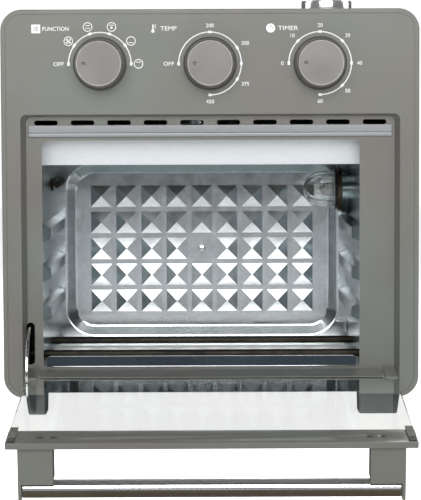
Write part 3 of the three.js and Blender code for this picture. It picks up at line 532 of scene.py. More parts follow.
# A darker copy of the liner steel: painted shade on the side walls and the back wall's top strip.
shaded_liner_copy = steel_finish("aluminised_steel_painted_shade", (0.27, 0.33, 0.345, 1), 0.22, tint=0.06)
white_plate = steel_finish("bright_reflector", (0.68, 0.71, 0.73, 1), 0.5, 0.02, metal=0.3)

for side in ("left", "right"):
    dressed(f"cavity_{side}_wall", shaded_liner_copy, 1.6 * MM, 3, 20)

back_low, back_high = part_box("cavity_back_wall")
WALL_FACE = back_low.y
PANEL_DEPTH = 5 * MM
PANEL_FLAT = WALL_FACE + PANEL_DEPTH
PANEL_HALF = (back_high.x - back_low.x) / 2
PANEL_MIDDLE = (back_high.x + back_low.x) / 2
PYRAMIDS_LOW = 42 * MM
PYRAMIDS_HIGH = 178 * MM
PYRAMIDS_SIDE = 20 * MM
BORDER_LOW = 24 * MM
BORDER_HIGH = 225 * MM
BORDER_SIDE = 3 * MM
PYRAMID_RISE = 1.5 * MM
PYRAMID_BASE = 24 * MM
PAINTED_SHADE_ABOVE = 181 * MM


def on_pressing(a, b):
    """True for the outer and inner edges of the big pressed panel, not those of the pyramids."""
    ends = (a, b)
    level = any(all(abs(p.y - flat) < 1e-5 for p in ends) for flat in (WALL_FACE, PANEL_FLAT))
    near_side = all(abs(p.x - PANEL_MIDDLE) > PANEL_HALF - PYRAMIDS_SIDE for p in ends)
    low = all(p.z < PYRAMIDS_LOW for p in ends)
    high = all(p.z > PYRAMIDS_HIGH for p in ends)
    at_border = all(
        abs(p.x - PANEL_MIDDLE) > PANEL_HALF - BORDER_SIDE or not BORDER_LOW <= p.z <= BORDER_HIGH
        for p in ends
    )
    return level and (near_side or low or high) and not at_border


def on_pyramid(a, b):
    """True for the edges of the small pressed pyramids, and for their feet on the panel's flat."""
    sloping = min(a.y, b.y) < PANEL_FLAT - 1e-4 and abs(a.y - b.y) > PYRAMID_RISE
    on_flat = all(abs(p.y - PANEL_FLAT) < 1e-5 for p in (a, b))
    return sloping or on_flat and (a - b).length < PYRAMID_BASE


rear = copied("cavity_back_wall")
choose(rear, "EDGE", on_pressing)
bpy.ops.mesh.bevel(offset=1.2 * MM, segments=4, affect="EDGES")
choose(rear, "EDGE", on_pyramid)
bpy.ops.mesh.mark_sharp()
bevelled(rear, 0.4 * MM, 2, 32)
rear.data.materials.append(liner)
rear.data.materials.append(shaded_liner_copy)
# Faces above the pyramids take the darker copy, a painted shade below the baffle.
for face in rear.data.polygons:
    if face.center.z > PAINTED_SHADE_ABOVE:
        face.material_index = 1

dressed("cavity_ceiling", liner, 0.3 * MM)
# The cavity floor's steel is dark, a painted shade; its faces that point upward take the bright reflector
# finish, a painted highlight.
painted_shade_steel = steel_finish("cavity_floor_painted_shade", (0.045, 0.056, 0.056, 1), 0.2, 0.1, grain=(1.0, 1.0, 0.1))
bottom = dressed("cavity_floor", painted_shade_steel, 0.8 * MM, 4)
bottom.data.materials.append(white_plate)
PAINTED_HIGHLIGHT_UP = 0.35
for face in bottom.data.polygons:
    if face.normal.z > PAINTED_HIGHLIGHT_UP:
        face.material_index = 1
dressed("upper_baffle", white_plate, 0.3 * MM)

# ---------------------------------------------------------------- heating rods
# Four sheathed elements run from side to side. Each is a swaged steel tube with a ceramic bushing
# outside each wall, turned in one piece with the tube and given the sheath's finish. The sheath is dark from
# oxide, with straw and blue heat colours.

sheath, tree, shader, place = new_finish("heater_sheath", Metallic=0.85)
along = add_node(tree, "ShaderNodeMapping", {"Vector": place, "Scale": (0.25, 1.0, 1.0)})
hue = add_node(tree, "ShaderNodeTexNoise", {"Vector": along.outputs["Vector"], "Scale": 60.0, "Detail": 4.0})
oxides = (0.3, (0.018, 0.016, 0.016, 1)), (0.6, (0.04, 0.035, 0.024, 1)), (0.8, (0.03, 0.034, 0.045, 1))
tree.links.new(ramp(tree, hue.outputs["Fac"], oxides), shader.inputs["Base Color"])
uneven_gloss(tree, shader, place, 120, 0.4, 0.62)


def lathe(name, outline, axis, centre, segments=64):
    """A turned piece: an outline of (radius, distance) pairs spun about an axis through a place."""
    mesh = bpy.data.meshes.new(name)
    corners = [(radius, 0, along) for radius, along in outline]
    mesh.from_pydata(corners, [(i, i + 1) for i in range(len(corners) - 1)], [])
    piece = new_piece(name, mesh)
    only(piece)
    bpy.ops.object.mode_set(mode="EDIT")
    bpy.ops.mesh.select_all(action="SELECT")
    bpy.ops.mesh.spin(steps=segments, angle=math.tau, center=(0, 0, 0), axis=(0, 0, 1))
    bpy.ops.mesh.select_all(action="SELECT")
    bpy.ops.mesh.remove_doubles(threshold=1e-6)
    bpy.ops.mesh.normals_make_consistent(inside=False)
    bpy.ops.object.mode_set(mode="OBJECT")
    turn = Vector((0, 0, 1)).rotation_difference(Vector(axis)).to_matrix().to_4x4()
    mesh.transform(Matrix.Translation(centre) @ turn)
    smoothed(piece)
    return piece


def both_ends(half):
    """A lathe outline whose second half mirrors the first."""
    return half + [(radius, -along) for radius, along in reversed(half)]


def middle_of(name):
    """The middle of a CAD node's box."""
    low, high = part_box(name)
    return (low + high) / 2


ROD_RADIUS = 3.25 * MM
BUSHING_RADIUS = 6 * MM
for level in ("lower", "upper"):
    for end in ("front", "rear"):
        name = f"heater_{level}_{end}"
        low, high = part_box(name)
        reach = (high.x - low.x) / 2
        bush_out = reach - 4 * MM
        bush_in = bush_out - 9 * MM
        half_outline = [
            (0, reach),
            (ROD_RADIUS - 0.5 * MM, reach),
            (ROD_RADIUS, reach - 0.5 * MM),
            (ROD_RADIUS, bush_out),
            (BUSHING_RADIUS - 0.6 * MM, bush_out),
            (BUSHING_RADIUS, bush_out - 0.6 * MM),
            (BUSHING_RADIUS, bush_in + 0.6 * MM),
            (BUSHING_RADIUS - 0.6 * MM, bush_in),
            (ROD_RADIUS, bush_in),
        ]
        element = lathe(name + "_rod", both_ends(half_outline), (1, 0, 0), middle_of(name), 40)
        made_for(element, name, sheath)

# ---------------------------------------------------------------- crumb tray, clip and sensor
# The tray is one sheet: bright inside, with a grip lip folded up in front whose face is painted dark blue,
# a painted reflection of the dark room, and whose top edge stays bright, a painted highlight. A spring
# clip holds the liner's corner, and the thermostat's bulb lies along the left wall.

tray_sheet = steel_finish("tray_sheet", (0.95, 0.96, 0.96, 1), 0.34, grain=(0.2, 1.0, 1.0), metal=0.5)
lip_painted_reflection = paint_finish("tray_enamel", (0.016, 0.024, 0.034, 1), (0.022, 0.034, 0.046, 1), 0.3, 0.3)
tray = dressed("crumb_tray", tray_sheet, 0.4 * MM, 3)
tray_low, tray_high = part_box("crumb_tray")
LIP_DEPTH = 0.9 * MM
LIP_TOP_HIGHLIGHT = 0.3 * MM
tray.data.materials.append(lip_painted_reflection)
# Painted reflection: the lip's face takes the dark blue; its top edge keeps the bright sheet as a painted
# highlight.
for face in tray.data.polygons:
    rim = face.center.z > tray_high.z - LIP_TOP_HIGHLIGHT
    if face.center.y < tray_low.y + LIP_DEPTH and not rim and face.normal.y < -0.6:
        face.material_index = 1

chrome = steel_finish("chromed", (0.9, 0.91, 0.92, 1), 0.14, 0.0, tint=0.0)

# The lip's lower edge is rolled into a bare bead.
BEAD_RADIUS = 0.6 * MM
bead_long = (tray_high.x - tray_low.x) / 2 - 4 * MM
bead_end = [
    (0, -bead_long),
    (BEAD_RADIUS * 0.7, -bead_long + 0.1 * MM),
    (BEAD_RADIUS, -bead_long + 0.5 * MM),
]
bead_centre = Vector((middle_of("crumb_tray").x, tray_low.y + BEAD_RADIUS, tray_low.z - 0.5 * MM))
bead = lathe("tray_lip_bead", both_ends(bead_end), (1, 0, 0), bead_centre, 24)
bead.data.materials.append(chrome)
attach(bead, nodes["crumb_tray"]["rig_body"])

# A small fill lights the tray alone, as the pale room above the open door does.
tray_fill = softbox("tray_fill", (0, -0.5, 0.5), (0, 0, 0.03), (0.5, 0.3), 2.4)
tray_fill.visible_glossy = False
lit_by_fill = bpy.data.collections.new("lit_by_tray_fill")
lit_by_fill.objects.link(tray)
tray_fill.light_linking.receiver_collection = lit_by_fill

dressed("rear_clip", chrome, 0.3 * MM)
dressed("thermostat_bulb", sheath, 0.2 * MM)


def cut_from(piece, tool):
    """Takes a tool's shape out of a piece, and then the tool out of the scene."""
    only(piece)
    cutting = piece.modifiers.new("cut", "BOOLEAN")
    cutting.object = tool
    cutting.operation = "DIFFERENCE"
    cutting.solver = "EXACT"
    bpy.ops.object.modifier_apply(modifier=cutting.name)
    bpy.data.objects.remove(tool)


def cross_screw(name, at, radius, height, axis=(0, -1, 0)):
    """A pan-head screw with a pressed cross: the head's crown sunk along two crossed slots."""
    crown = [(radius * 0.98, 0), (radius, height * 0.35), (radius * 0.8, height * 0.8), (0, height)]
    head = lathe(name, [(0, 0)] + crown, axis, at, 24)
    slots = []
    for turn in (0, math.pi / 2):
        bpy.ops.object.select_all(action="DESELECT")
        bpy.ops.mesh.primitive_cube_add(size=1)
        bit = bpy.context.object
        bit.scale = (radius * 1.2, radius * 0.24, height)
        bpy.ops.object.transform_apply(scale=True)
        lean = Vector((0, 0, 1)).rotation_difference(Vector(axis)).to_matrix().to_4x4()
        lift = Matrix.Translation((0, 0, height * 0.95))
        bit.data.transform(Matrix.Translation(at) @ lean @ lift @ Matrix.Rotation(turn, 4, "Z"))
        slots.append(bit)
    for bit in slots:
        cut_from(head, bit)
    smoothed(head)
    return head


screw_low, screw_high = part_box("back_wall_screw")
screw_middle = middle_of("back_wall_screw")
screw_seat = (screw_middle.x, screw_low.y + 2.2 * MM, screw_middle.z)
wall_screw = cross_screw("back_wall_screw_head", screw_seat, (screw_high.x - screw_low.x) / 2, 2.1 * MM)
made_for(wall_screw, "back_wall_screw", chrome)

# ---------------------------------------------------------------- lamp
# A ribbed glass dome over a small lamp, on a rubber gasket, held to a pressed boss by a threaded
# bronze ring. The dome is pressed glass with a wall about 1.6 mm thick.

dome_low, dome_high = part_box("lamp_glass")
flange_face = Vector((dome_high.x, (dome_low.y + dome_high.y) / 2, (dome_low.z + dome_high.z) / 2))
FLANGE_RADIUS = (dome_high.z - dome_low.z) / 2
DOME_RADIUS = 17.0 * MM
DOME_LENGTH = dome_high.x - dome_low.x
DOME_WALL = 1.6 * MM
RIBS = 14
RIB_DEPTH = 0.045
RIBS_FROM = 4 * MM
RIBS_FULL = 3 * MM
RIBS_TIP = 8 * MM


def dome_skin(radius, length, steps=14):
    """Outline points of a cylinder that ends in a hemisphere, from its foot to its tip."""
    points = []
    for i in range(steps + 1):
        turn = math.pi / 2 * i / steps
        across = radius * math.cos(turn) if i < steps else 0
        points.append((across, length - radius + radius * math.sin(turn)))
    return points


inner_skin = dome_skin(DOME_RADIUS - DOME_WALL, DOME_LENGTH - DOME_WALL)
outer_skin = dome_skin(DOME_RADIUS, DOME_LENGTH)
outline = [
    *reversed(inner_skin),
    (DOME_RADIUS - DOME_WALL, 0),
    (FLANGE_RADIUS - 0.3 * MM, 0),
    (FLANGE_RADIUS, 0.3 * MM),
    (FLANGE_RADIUS, 1.5 * MM),
    (FLANGE_RADIUS - 0.3 * MM, 1.8 * MM),
    (DOME_RADIUS, 1.8 * MM),
    (DOME_RADIUS, 5 * MM),
    *outer_skin,
]
dome = lathe("lamp_dome", outline, (-1, 0, 0), flange_face, 112)
for vertex in dome.data.vertices:
    out = vertex.co - flange_face
    radius = math.hypot(out.y, out.z)
    along = -out.x
    if along > RIBS_FROM and radius > 1 * MM:
        fade = min(1, (along - RIBS_FROM) / RIBS_FULL) * min(1, radius / RIBS_TIP)
        wave = math.cos(RIBS * math.atan2(out.z, out.y))
        grow = 1 - RIB_DEPTH * fade * (0.5 - 0.5 * wave)
        vertex.co.y = flange_face.y + out.y * grow
        vertex.co.z = flange_face.z + out.z * grow
smoothed(dome, 50)
lamp_glass, tree, shader, place = new_finish(
    "lamp_glass", Transmission_Weight=1.0, IOR=1.5, Base_Color=(0.97, 0.99, 0.98, 1)
)
fine_bump(tree, shader, place, 120.0, 2.0, 0.2, 0.4 * MM)
uneven_gloss(tree, shader, place, 90, 0.0, 0.09)
made_for(dome, "lamp_glass", lamp_glass)

bronze = steel_finish("bronze", (0.2, 0.16, 0.11, 1), 0.3, 0.03, tint=0.2)
ring_low, ring_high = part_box("lamp_clamp_ring")
RING_RADIUS = (ring_high.z - ring_low.z) / 2
RING_BORE = 13 * MM
THREADS = 4
THREAD_ROOT = RING_RADIUS - 0.9 * MM
ring_length = ring_high.x - ring_low.x
pitch = ring_length / THREADS
thread = ((THREAD_ROOT, 0.08), (RING_RADIUS, 0.4), (RING_RADIUS, 0.6), (THREAD_ROOT, 0.92))
outline = [(RING_BORE, 0)]
outline += [(radius, (turn + share) * pitch) for turn in range(THREADS) for radius, share in thread]
outline += [(RING_BORE, ring_length), (RING_BORE, 0)]
clamp = lathe("lamp_ring", outline, (1, 0, 0), (ring_low.x, flange_face.y, flange_face.z), 72)
made_for(clamp, "lamp_clamp_ring", bronze)


def rubber_finish(name, colour):
    """Moulded rubber, plastic or fired ceramic: matt, with pale dusty patches."""
    finish, tree, shader, place = new_finish(name)
    dusty = place_effect(tree, mottle, place, Scale=110, Low=0.0, High=0.5)["Value"]
    dust = tuple(c + 0.03 for c in colour[:3]) + (1,)
    tree.links.new(mixed(tree, dusty, colour, dust), shader.inputs["Base Color"])
    uneven_gloss(tree, shader, place, 50, 0.45, 0.65)
    fine_bump(tree, shader, place, 1500.0, 2.0, 0.15, 0.1 * MM)
    return finish


black_rubber = rubber_finish("black_rubber", (0.012, 0.012, 0.012, 1))
dressed("lamp_gasket", black_rubber, 0.4 * MM, 3)
dressed("lamp_holder", rubber_finish("lamp_ceramic", (0.6, 0.57, 0.5, 1)), 0.5 * MM)
frosted, tree, shader, place = new_finish("lamp_bulb_glass", IOR=1.5, Transmission_Weight=0.6)
uneven_gloss(tree, shader, place, 200, 0.25, 0.4)
uneven_grey(tree, shader, place, 70, 0.7, 0.82)
dressed("lamp_bulb", frosted, 0.6 * MM, 3, 12)

# ---------------------------------------------------------------- convection fan
# A pressed impeller under the ceiling, its shaft up into the motor's can, with a plated wire guard below.

for name in ("fan_impeller", "fan_motor"):
    dressed(name, liner, 0.25 * MM)
dressed("fan_guard", chrome, 0.3 * MM)

# ---------------------------------------------------------------- knobs
# Three turned metal knobs with a fine spun face, a bright chamfer and an index dimple, their edges lighter,
# partly wear and partly a painted highlight, each over a bezel ring painted dark, partly a painted shadow
# round the knob. They push on plated shafts, from controls fixed behind the front.

knob_face, tree, shader, place = new_finish("knob_metal", Metallic=0.55)
drift = place_effect(tree, mottle, place, Scale=22)["Value"]
tone = mixed(tree, drift, (0.192, 0.178, 0.17, 1), (0.23, 0.215, 0.203, 1))
# Lighter knob edges: part wear, part painted highlight.
rub_and_highlight = place_effect(tree, edge_wear_and_highlight, place, Amount=0.5)["Mask"]
worn_and_highlit = mixed(tree, rub_and_highlight, tone, (0.6, 0.58, 0.55, 1))
tree.links.new(worn_and_highlit, shader.inputs["Base Color"])
uneven_gloss(tree, shader, place, 60, 0.3, 0.4)
fine_bump(tree, shader, place, 1800.0, 2.0, 0.1, 0.1 * MM)

control_plastic = rubber_finish("heatproof_plastic", (0.45, 0.42, 0.36, 1))
DIMPLE_OUT = 12.6 * MM
RIM_INNER = 2.5 * MM
RIM_OUTER = 1.9 * MM
dial_places = {}
for dial in ("function", "temperature", "timer"):
    low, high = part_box(f"{dial}_knob")
    centre = Vector(((low.x + high.x) / 2, high.y, (low.z + high.z) / 2))
    dial_places[dial] = centre
    radius = (high.x - low.x) / 2
    reach = high.y - low.y
    outline = [
        (0, 0),
        (radius - 0.3 * MM, 0),
        (radius, 0.4 * MM),
        (radius - 0.2 * MM, 5 * MM),
        (radius - 0.6 * MM, reach - 2.2 * MM),
        (radius - 0.9 * MM, reach - 1.2 * MM),
        (radius - 1.6 * MM, reach - 0.4 * MM),
        (radius - 2.0 * MM, reach - 0.15 * MM),
        (radius - 2.35 * MM, reach - 0.35 * MM),
        (radius - 2.7 * MM, reach),
        (8 * MM, reach),
        (0, reach),
    ]
    knob = lathe(f"{dial}_knob_turned", outline, (0, -1, 0), centre, 96)
    bpy.ops.object.select_all(action="DESELECT")
    dimple = (centre.x - DIMPLE_OUT, low.y - 0.5 * MM, centre.z)
    bpy.ops.mesh.primitive_uv_sphere_add(segments=24, ring_count=12, radius=1.7 * MM, location=dimple)
    cut_from(knob, bpy.context.object)
    smoothed(knob)
    knob.data.materials.append(knob_face)
    knob.data.materials.append(white_plate)
    for face in knob.data.polygons:
        out = math.hypot(face.center.x - centre.x, face.center.z - centre.z)
        if radius - RIM_INNER < out < radius - RIM_OUTER and face.normal.y < -0.2:
            face.material_index = 1
    rides_for(knob, f"{dial}_knob")

    # The bezel ring is painted dark, partly a painted shadow round the knob.
    low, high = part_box(f"{dial}_bezel")
    radius = (high.x - low.x) / 2
    thick = high.y - low.y
    outline = [
        (4 * MM, 0),
        (radius - 0.2 * MM, 0),
        (radius, 0.3 * MM),
        (radius - 0.3 * MM, thick * 0.6),
        (radius - 1.0 * MM, thick - 0.1 * MM),
        (radius - 1.6 * MM, thick),
        (4 * MM, thick),
        (4 * MM, 0),
    ]
    bezel = lathe(f"{dial}_bezel_ring", outline, (0, -1, 0), (centre.x, high.y, centre.z), 96)
    made_for(bezel, f"{dial}_bezel", dark_paint_and_shade)
    dressed(f"{dial}_shaft", chrome, 0.3 * MM)
for name in ("function_switch", "thermostat", "timer_unit"):
    dressed(name, control_plastic, 0.8 * MM, 3)

# ---------------------------------------------------------------- dial print
# White screen-printed ink round each knob: an arc with a thicker mark at each setting, plain numbers,
# and small generic symbols. The ink is a twentieth of a millimetre thick.

ink, tree, shader, place = new_finish("white_print")
uneven_grey(tree, shader, place, 400, 0.76, 0.86)
uneven_gloss(tree, shader, place, 250, 0.5, 0.62)

INK_BACK = front_low.y - 0.01 * MM
INK_FACE = front_low.y - 0.06 * MM
# The print's own numbers and (x, z) places are in millimetres.
ARC_RADIUS = 26.2
ARC_WIDTH = 0.95
MARK_WIDTH = 2.1
MARK_LENGTH = 3.0
SYMBOL_OUT = 32.3
SYMBOL_RADIUS = 3.6
LINE = 0.65
BOLDER = 0.015
ink_parts = []


def ink_strip(outer, inner, lift=0.0):
    """A printed strip between two rows of points, given its ink thickness."""
    count = len(outer)
    points = [(x * MM, INK_FACE - lift * MM, z * MM) for x, z in outer + inner]
    quads = [(i, i + 1, count + i + 1, count + i) for i in range(count - 1)]
    mesh = bpy.data.meshes.new("ink")
    mesh.from_pydata(points, [], quads)
    return thickened_ink(new_piece("ink", mesh))


def thickened_ink(patch):
    """Gives a flat printed patch its thickness, back to the paint."""
    only(patch)
    bpy.ops.object.mode_set(mode="EDIT")
    bpy.ops.mesh.select_all(action="SELECT")
    bpy.ops.mesh.remove_doubles(threshold=1e-6)
    bpy.ops.mesh.extrude_region_move(TRANSFORM_OT_translate={"value": (0, INK_BACK - INK_FACE, 0)})
    bpy.ops.mesh.select_all(action="SELECT")
    bpy.ops.mesh.normals_make_consistent(inside=False)
    bpy.ops.object.mode_set(mode="OBJECT")
    ink_parts.append(patch)
    return patch


def ink_arc(centre, radius, width, start=0, end=360, lift=0.0):
    """A printed arc in degrees, anticlockwise as seen, about a centre."""
    steps = max(6, int(abs(end - start) / 6))
    turns = [math.radians(start + (end - start) * i / steps) for i in range(steps + 1)]
    rows = [
        [(centre[0] + r * math.cos(t), centre[1] + r * math.sin(t)) for t in turns]
        for r in (radius + width / 2, radius - width / 2)
    ]
    return ink_strip(*rows, lift)


def ink_bar(x0, z0, x1, z1, lift=0.0):
    """A printed rectangle."""
    return ink_strip([(x0, z1), (x1, z1)], [(x0, z0), (x1, z0)], lift)


def ink_mark(centre, angle):
    """A thicker mark on a dial's arc, at an angle in degrees."""
    turn = math.radians(angle)
    out = Vector((math.cos(turn), math.sin(turn)))
    side = Vector((-out.y, out.x)) * MARK_LENGTH / 2
    at = Vector(centre) + out * ARC_RADIUS
    rows = [[at + out * w + side, at + out * w - side] for w in (MARK_WIDTH / 2, -MARK_WIDTH / 2)]
    return ink_strip(*rows, lift=0.02)


def ink_words(words, centre, height, width=None):
    """Printed capitals or figures of a given height and width, centred on a place."""
    bpy.ops.object.select_all(action="DESELECT")
    bpy.ops.object.text_add()
    bpy.context.object.data.body = words
    bpy.context.object.data.offset = 0.0 if "M" in words else BOLDER
    bpy.ops.object.convert(target="MESH")
    patch = bpy.context.object
    places = [v.co for v in patch.data.vertices]
    low = Vector((min(p.x for p in places), min(p.y for p in places)))
    size = Vector((max(p.x for p in places), max(p.y for p in places))) - low
    tall = height / size.y
    wide = width / size.x if width else tall
    for vertex in patch.data.vertices:
        x = centre[0] + (vertex.co.x - low.x - size.x / 2) * wide
        z = centre[1] + (vertex.co.y - low.y - size.y / 2) * tall
        vertex.co = (x * MM, INK_FACE, z * MM)
    return thickened_ink(patch)


DIAL_Z = dial_places["temperature"].z / MM
SETTINGS = {
    "function": (0, (180, 144, 108, 72, 36, 0)),
    "temperature": (-90, (180, 90, 30, 0, -30, -90)),
    "timer": (-90, (180, 135, 90, 45, 0, -45, -90)),
}
FIGURES = {
    "function": {180: "OFF"},
    "temperature": {180: "OFF", 90: "200", 30: "300", -30: "375", -90: "450"},
    "timer": {180: "0", 135: "10", 90: "20", 45: "30", 0: "40", -45: "50", -90: "60"},
}
FIGURE_HEIGHT = 3.3
FIGURE_OUT = 31.6
FUNCTION_BARS = {108: (1.1, -1.1), 72: (1.4,), 36: (-1.4,), 0: (1.4,)}
for dial, (last, angles) in SETTINGS.items():
    centre = (dial_places[dial].x / MM, DIAL_Z)
    ink_arc(centre, ARC_RADIUS, ARC_WIDTH, 180, last)
    for angle in angles:
        ink_mark(centre, angle)
    for angle, figure in FIGURES[dial].items():
        turn = math.radians(angle)
        width = 0.9 * FIGURE_HEIGHT * len(figure)
        out = FIGURE_OUT + max(0, abs(math.cos(turn)) * (width - FIGURE_HEIGHT) / 2)
        at = (centre[0] + out * math.cos(turn), centre[1] + out * math.sin(turn))
        ink_words(figure, at, FIGURE_HEIGHT, width if figure == "OFF" else None)

centre = (dial_places["function"].x / MM, DIAL_Z)
for angle in (144, 108, 72, 36, 0):
    turn = math.radians(angle)
    at = (centre[0] + SYMBOL_OUT * math.cos(turn), centre[1] + SYMBOL_OUT * math.sin(turn))
    ink_arc(at, SYMBOL_RADIUS, LINE)
    for rise in FUNCTION_BARS.get(angle, ()):
        ink_bar(at[0] - 1.9, at[1] + rise - 0.3, at[0] + 1.9, at[1] + rise + 0.3)
    if angle == 72:
        ink_arc((at[0], at[1] - 0.7), 0.5, 0.9)
    if angle == 144:
        ink_arc(at, 0.5, 0.9)
        for blade in range(4):
            ink_arc(at, 1.9, 1.0, 90 * blade + 20, 90 * blade + 70)

# A list, a thermometer and a clock stand for what each dial sets, each with its plain word.
WORD_RISE = 29.3
WORD_HEIGHT = 3.5
x, z = centre[0] - 53.2, DIAL_Z + WORD_RISE
ink_bar(x - 3.7, z + 2.6, x + 3.7, z + 3.6)
ink_bar(x - 3.7, z - 3.6, x + 3.7, z - 2.6)
ink_bar(x - 3.7, z - 2.6, x - 2.7, z + 2.6)
ink_bar(x + 2.7, z - 2.6, x + 3.7, z + 2.6)
for low, high in ((-2.6, -1.85), (-1.15, -0.35), (0.35, 1.15), (1.85, 2.6)):
    ink_bar(x - 2.7, z + low, x + 2.7, z + high)
for left, right in ((-2.7, -2.0), (-1.2, -0.7), (2.1, 2.7)):
    ink_bar(x + left, z - 2.4, x + right, z + 2.4, 0.01)
ink_words("FUNCTION", (centre[0] - 36.7, z), WORD_HEIGHT, 22.0)

x = dial_places["temperature"].x / MM - 47.5
ink_arc((x, z - 2.2), 0.7, 1.4)
ink_bar(x - 0.55, z - 1.2, x + 0.55, z + 3.2)
for row in (0.4, 1.7, 3.0):
    ink_bar(x + 1.3, z + row - 0.25, x + 2.6, z + row + 0.25)
ink_words("TEMP", (x + 13.0, z), WORD_HEIGHT, 13.4)

x = dial_places["timer"].x / MM - 41.3
ink_arc((x, z), 3.1, 1.4)
ink_arc((x, z), 1.35, 2.4, 102, 349, 0.01)
ink_arc((x, z), 1.35, 2.4, 11, 78, 0.01)
ink_words("TIMER", (x + 14.6, z), WORD_HEIGHT, 16.8)

only(ink_parts[0])
for patch in ink_parts:
    patch.select_set(True)
bpy.ops.object.join()
dial_print = bpy.context.object
dial_print.name = "dial_print"
dial_print.data.materials.clear()
dial_print.data.materials.append(ink)
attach(dial_print, "body")

# ---------------------------------------------------------------- trim strip over the opening
# A pale anodised strip with a groove along its lower third, where the top of the closed door lands.

strip_low, strip_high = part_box("door_seal_rail")
strip = box_between("trim_strip", strip_low, strip_high)
only(strip)
bpy.ops.object.mode_set(mode="EDIT")
groove_low, groove_high = (strip_low.z + share * (strip_high.z - strip_low.z) for share in (0.27, 0.36))
for cut_z in (groove_low, groove_high):
    bpy.ops.mesh.select_all(action="SELECT")
    bpy.ops.mesh.bisect(plane_co=(0, 0, cut_z), plane_no=(0, 0, 1))
choose(strip, "FACE", lambda at, n: n.y < -0.9 and groove_low < at.z < groove_high)
bpy.ops.mesh.extrude_region_move(TRANSFORM_OT_translate={"value": (0, 0.7 * MM, 0)})
bevelled(strip, 0.2 * MM)
anodised = steel_finish("seal_strip", (0.3, 0.31, 0.32, 1), 0.38, 0.02, grain=(0.1, 1.0, 1.0))
made_for(strip, "door_seal_rail", anodised)

# ---------------------------------------------------------------- vent cap and cord gland
# A pressed and plated cap over the exhaust on the top, and a rubber gland at the back for the mains cord.

cap_low, cap_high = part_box("exhaust_cap")
cap_centre = Vector(((cap_low.x + cap_high.x) / 2, (cap_low.y + cap_high.y) / 2, front_high.z))
cap_radius = (cap_high.x - cap_low.x) / 2
cap_top = cap_high.z - front_high.z
neck_radius = 13.7 * MM
neck_low = cap_low.z - front_high.z
outline = [
    (0, cap_top - 1.2 * MM),
    (cap_radius - 5.5 * MM, cap_top - 1.1 * MM),
    (cap_radius - 4.2 * MM, cap_top - 0.3 * MM),
    (cap_radius - 3.2 * MM, cap_top),
    (cap_radius - 1.8 * MM, cap_top - 0.1 * MM),
    (cap_radius - 0.6 * MM, cap_top - 0.7 * MM),
    (cap_radius, cap_top - 2 * MM),
    (cap_radius, 1.2 * MM),
    (cap_radius - 0.3 * MM, 0.5 * MM),
    (neck_radius, 0.4 * MM),
    (neck_radius, neck_low),
    (neck_radius - 1.5 * MM, neck_low),
    (neck_radius - 1.5 * MM, 2 * MM),
    (cap_radius - 1.8 * MM, 2.2 * MM),
    (cap_radius - 1.8 * MM, cap_top - 3 * MM),
    (0, cap_top - 2.6 * MM),
]
cap = lathe("vent_cap", outline, (0, 0, 1), cap_centre, 96)
cap_steel = steel_finish("cap_steel", (0.92, 0.92, 0.94, 1), 0.16, 0.0, metal=0.8)
made_for(cap, "exhaust_cap", cap_steel)
dressed("cord_gland", black_rubber, 0.5 * MM, 3, 25)

# ---------------------------------------------------------------- door
# A tempered glass pane held between two folded and painted rails. It turns on two pins at the foot of
# the pocket, guided by a curved arm through a slot, with a spring behind. Rubber corners stop it.

HINGE = Vector(next(j["pos_m"] for j in frame["joints"] if j["name"] == "door_hinge"))
OPEN_ANGLE = math.radians(97.8)
opened = Matrix.Translation(HINGE) @ Matrix.Rotation(OPEN_ANGLE, 4, "X")

pane_glass, tree, shader, place = new_finish("door_glass", Transmission_Weight=1.0, IOR=1.16)
uneven_gloss(tree, shader, place, 18, 0.0, 0.035)
tone = place_effect(tree, mottle, place, Scale=9)["Value"]
green = mixed(tree, tone, (0.93, 0.965, 0.955, 1), (0.95, 0.975, 0.965, 1))
tree.links.new(green, shader.inputs["Base Color"])
for finish in (pane_glass, lamp_glass):
    tree = finish.node_tree
    ray = add_node(tree, "ShaderNodeLightPath")
    clear = add_node(tree, "ShaderNodeBsdfTransparent", {"Color": (0.9, 0.94, 0.93, 1)})
    solid = tree.nodes["Principled BSDF"].outputs["BSDF"]
    passing = switched(tree, ray.outputs["Is Shadow Ray"], solid, clear.outputs["BSDF"])
    tree.links.new(passing, tree.nodes["Material Output"].inputs["Surface"])
dressed("door_glass", pane_glass, 0.5 * MM, 3)

DOOR_THICK = 4.8 * MM
handle_rail = dressed("door_handle_rail", casing_paint, 0.9 * MM, 3)
DISH_RADIUS = 10.2 * MM
DISH_DEPTH = 1.1 * MM
DISH_OUT = (129.5 * MM, 119.0 * MM)
DISH_ALONG = 194 * MM
for side in (-1, 1):
    for out in DISH_OUT:
        bpy.ops.object.select_all(action="DESELECT")
        bpy.ops.mesh.primitive_uv_sphere_add(segments=40, ring_count=28, radius=DISH_RADIUS)
        dish = bpy.context.object
        centre = Vector((side * out, DOOR_THICK / 2 + DISH_RADIUS - DISH_DEPTH, DISH_ALONG))
        dish.data.transform(opened @ Matrix.Translation(centre))
        cut_from(handle_rail, dish)
smoothed(handle_rail, 30)

BUMPER_ACROSS = (147.2, 153.2)
BUMPER_ALONG = (199.2, 208.4)
BUMPER_THICK = 0.8 * MM
inward = (opened.to_3x3() @ Vector((0, 1, 0))).normalized()
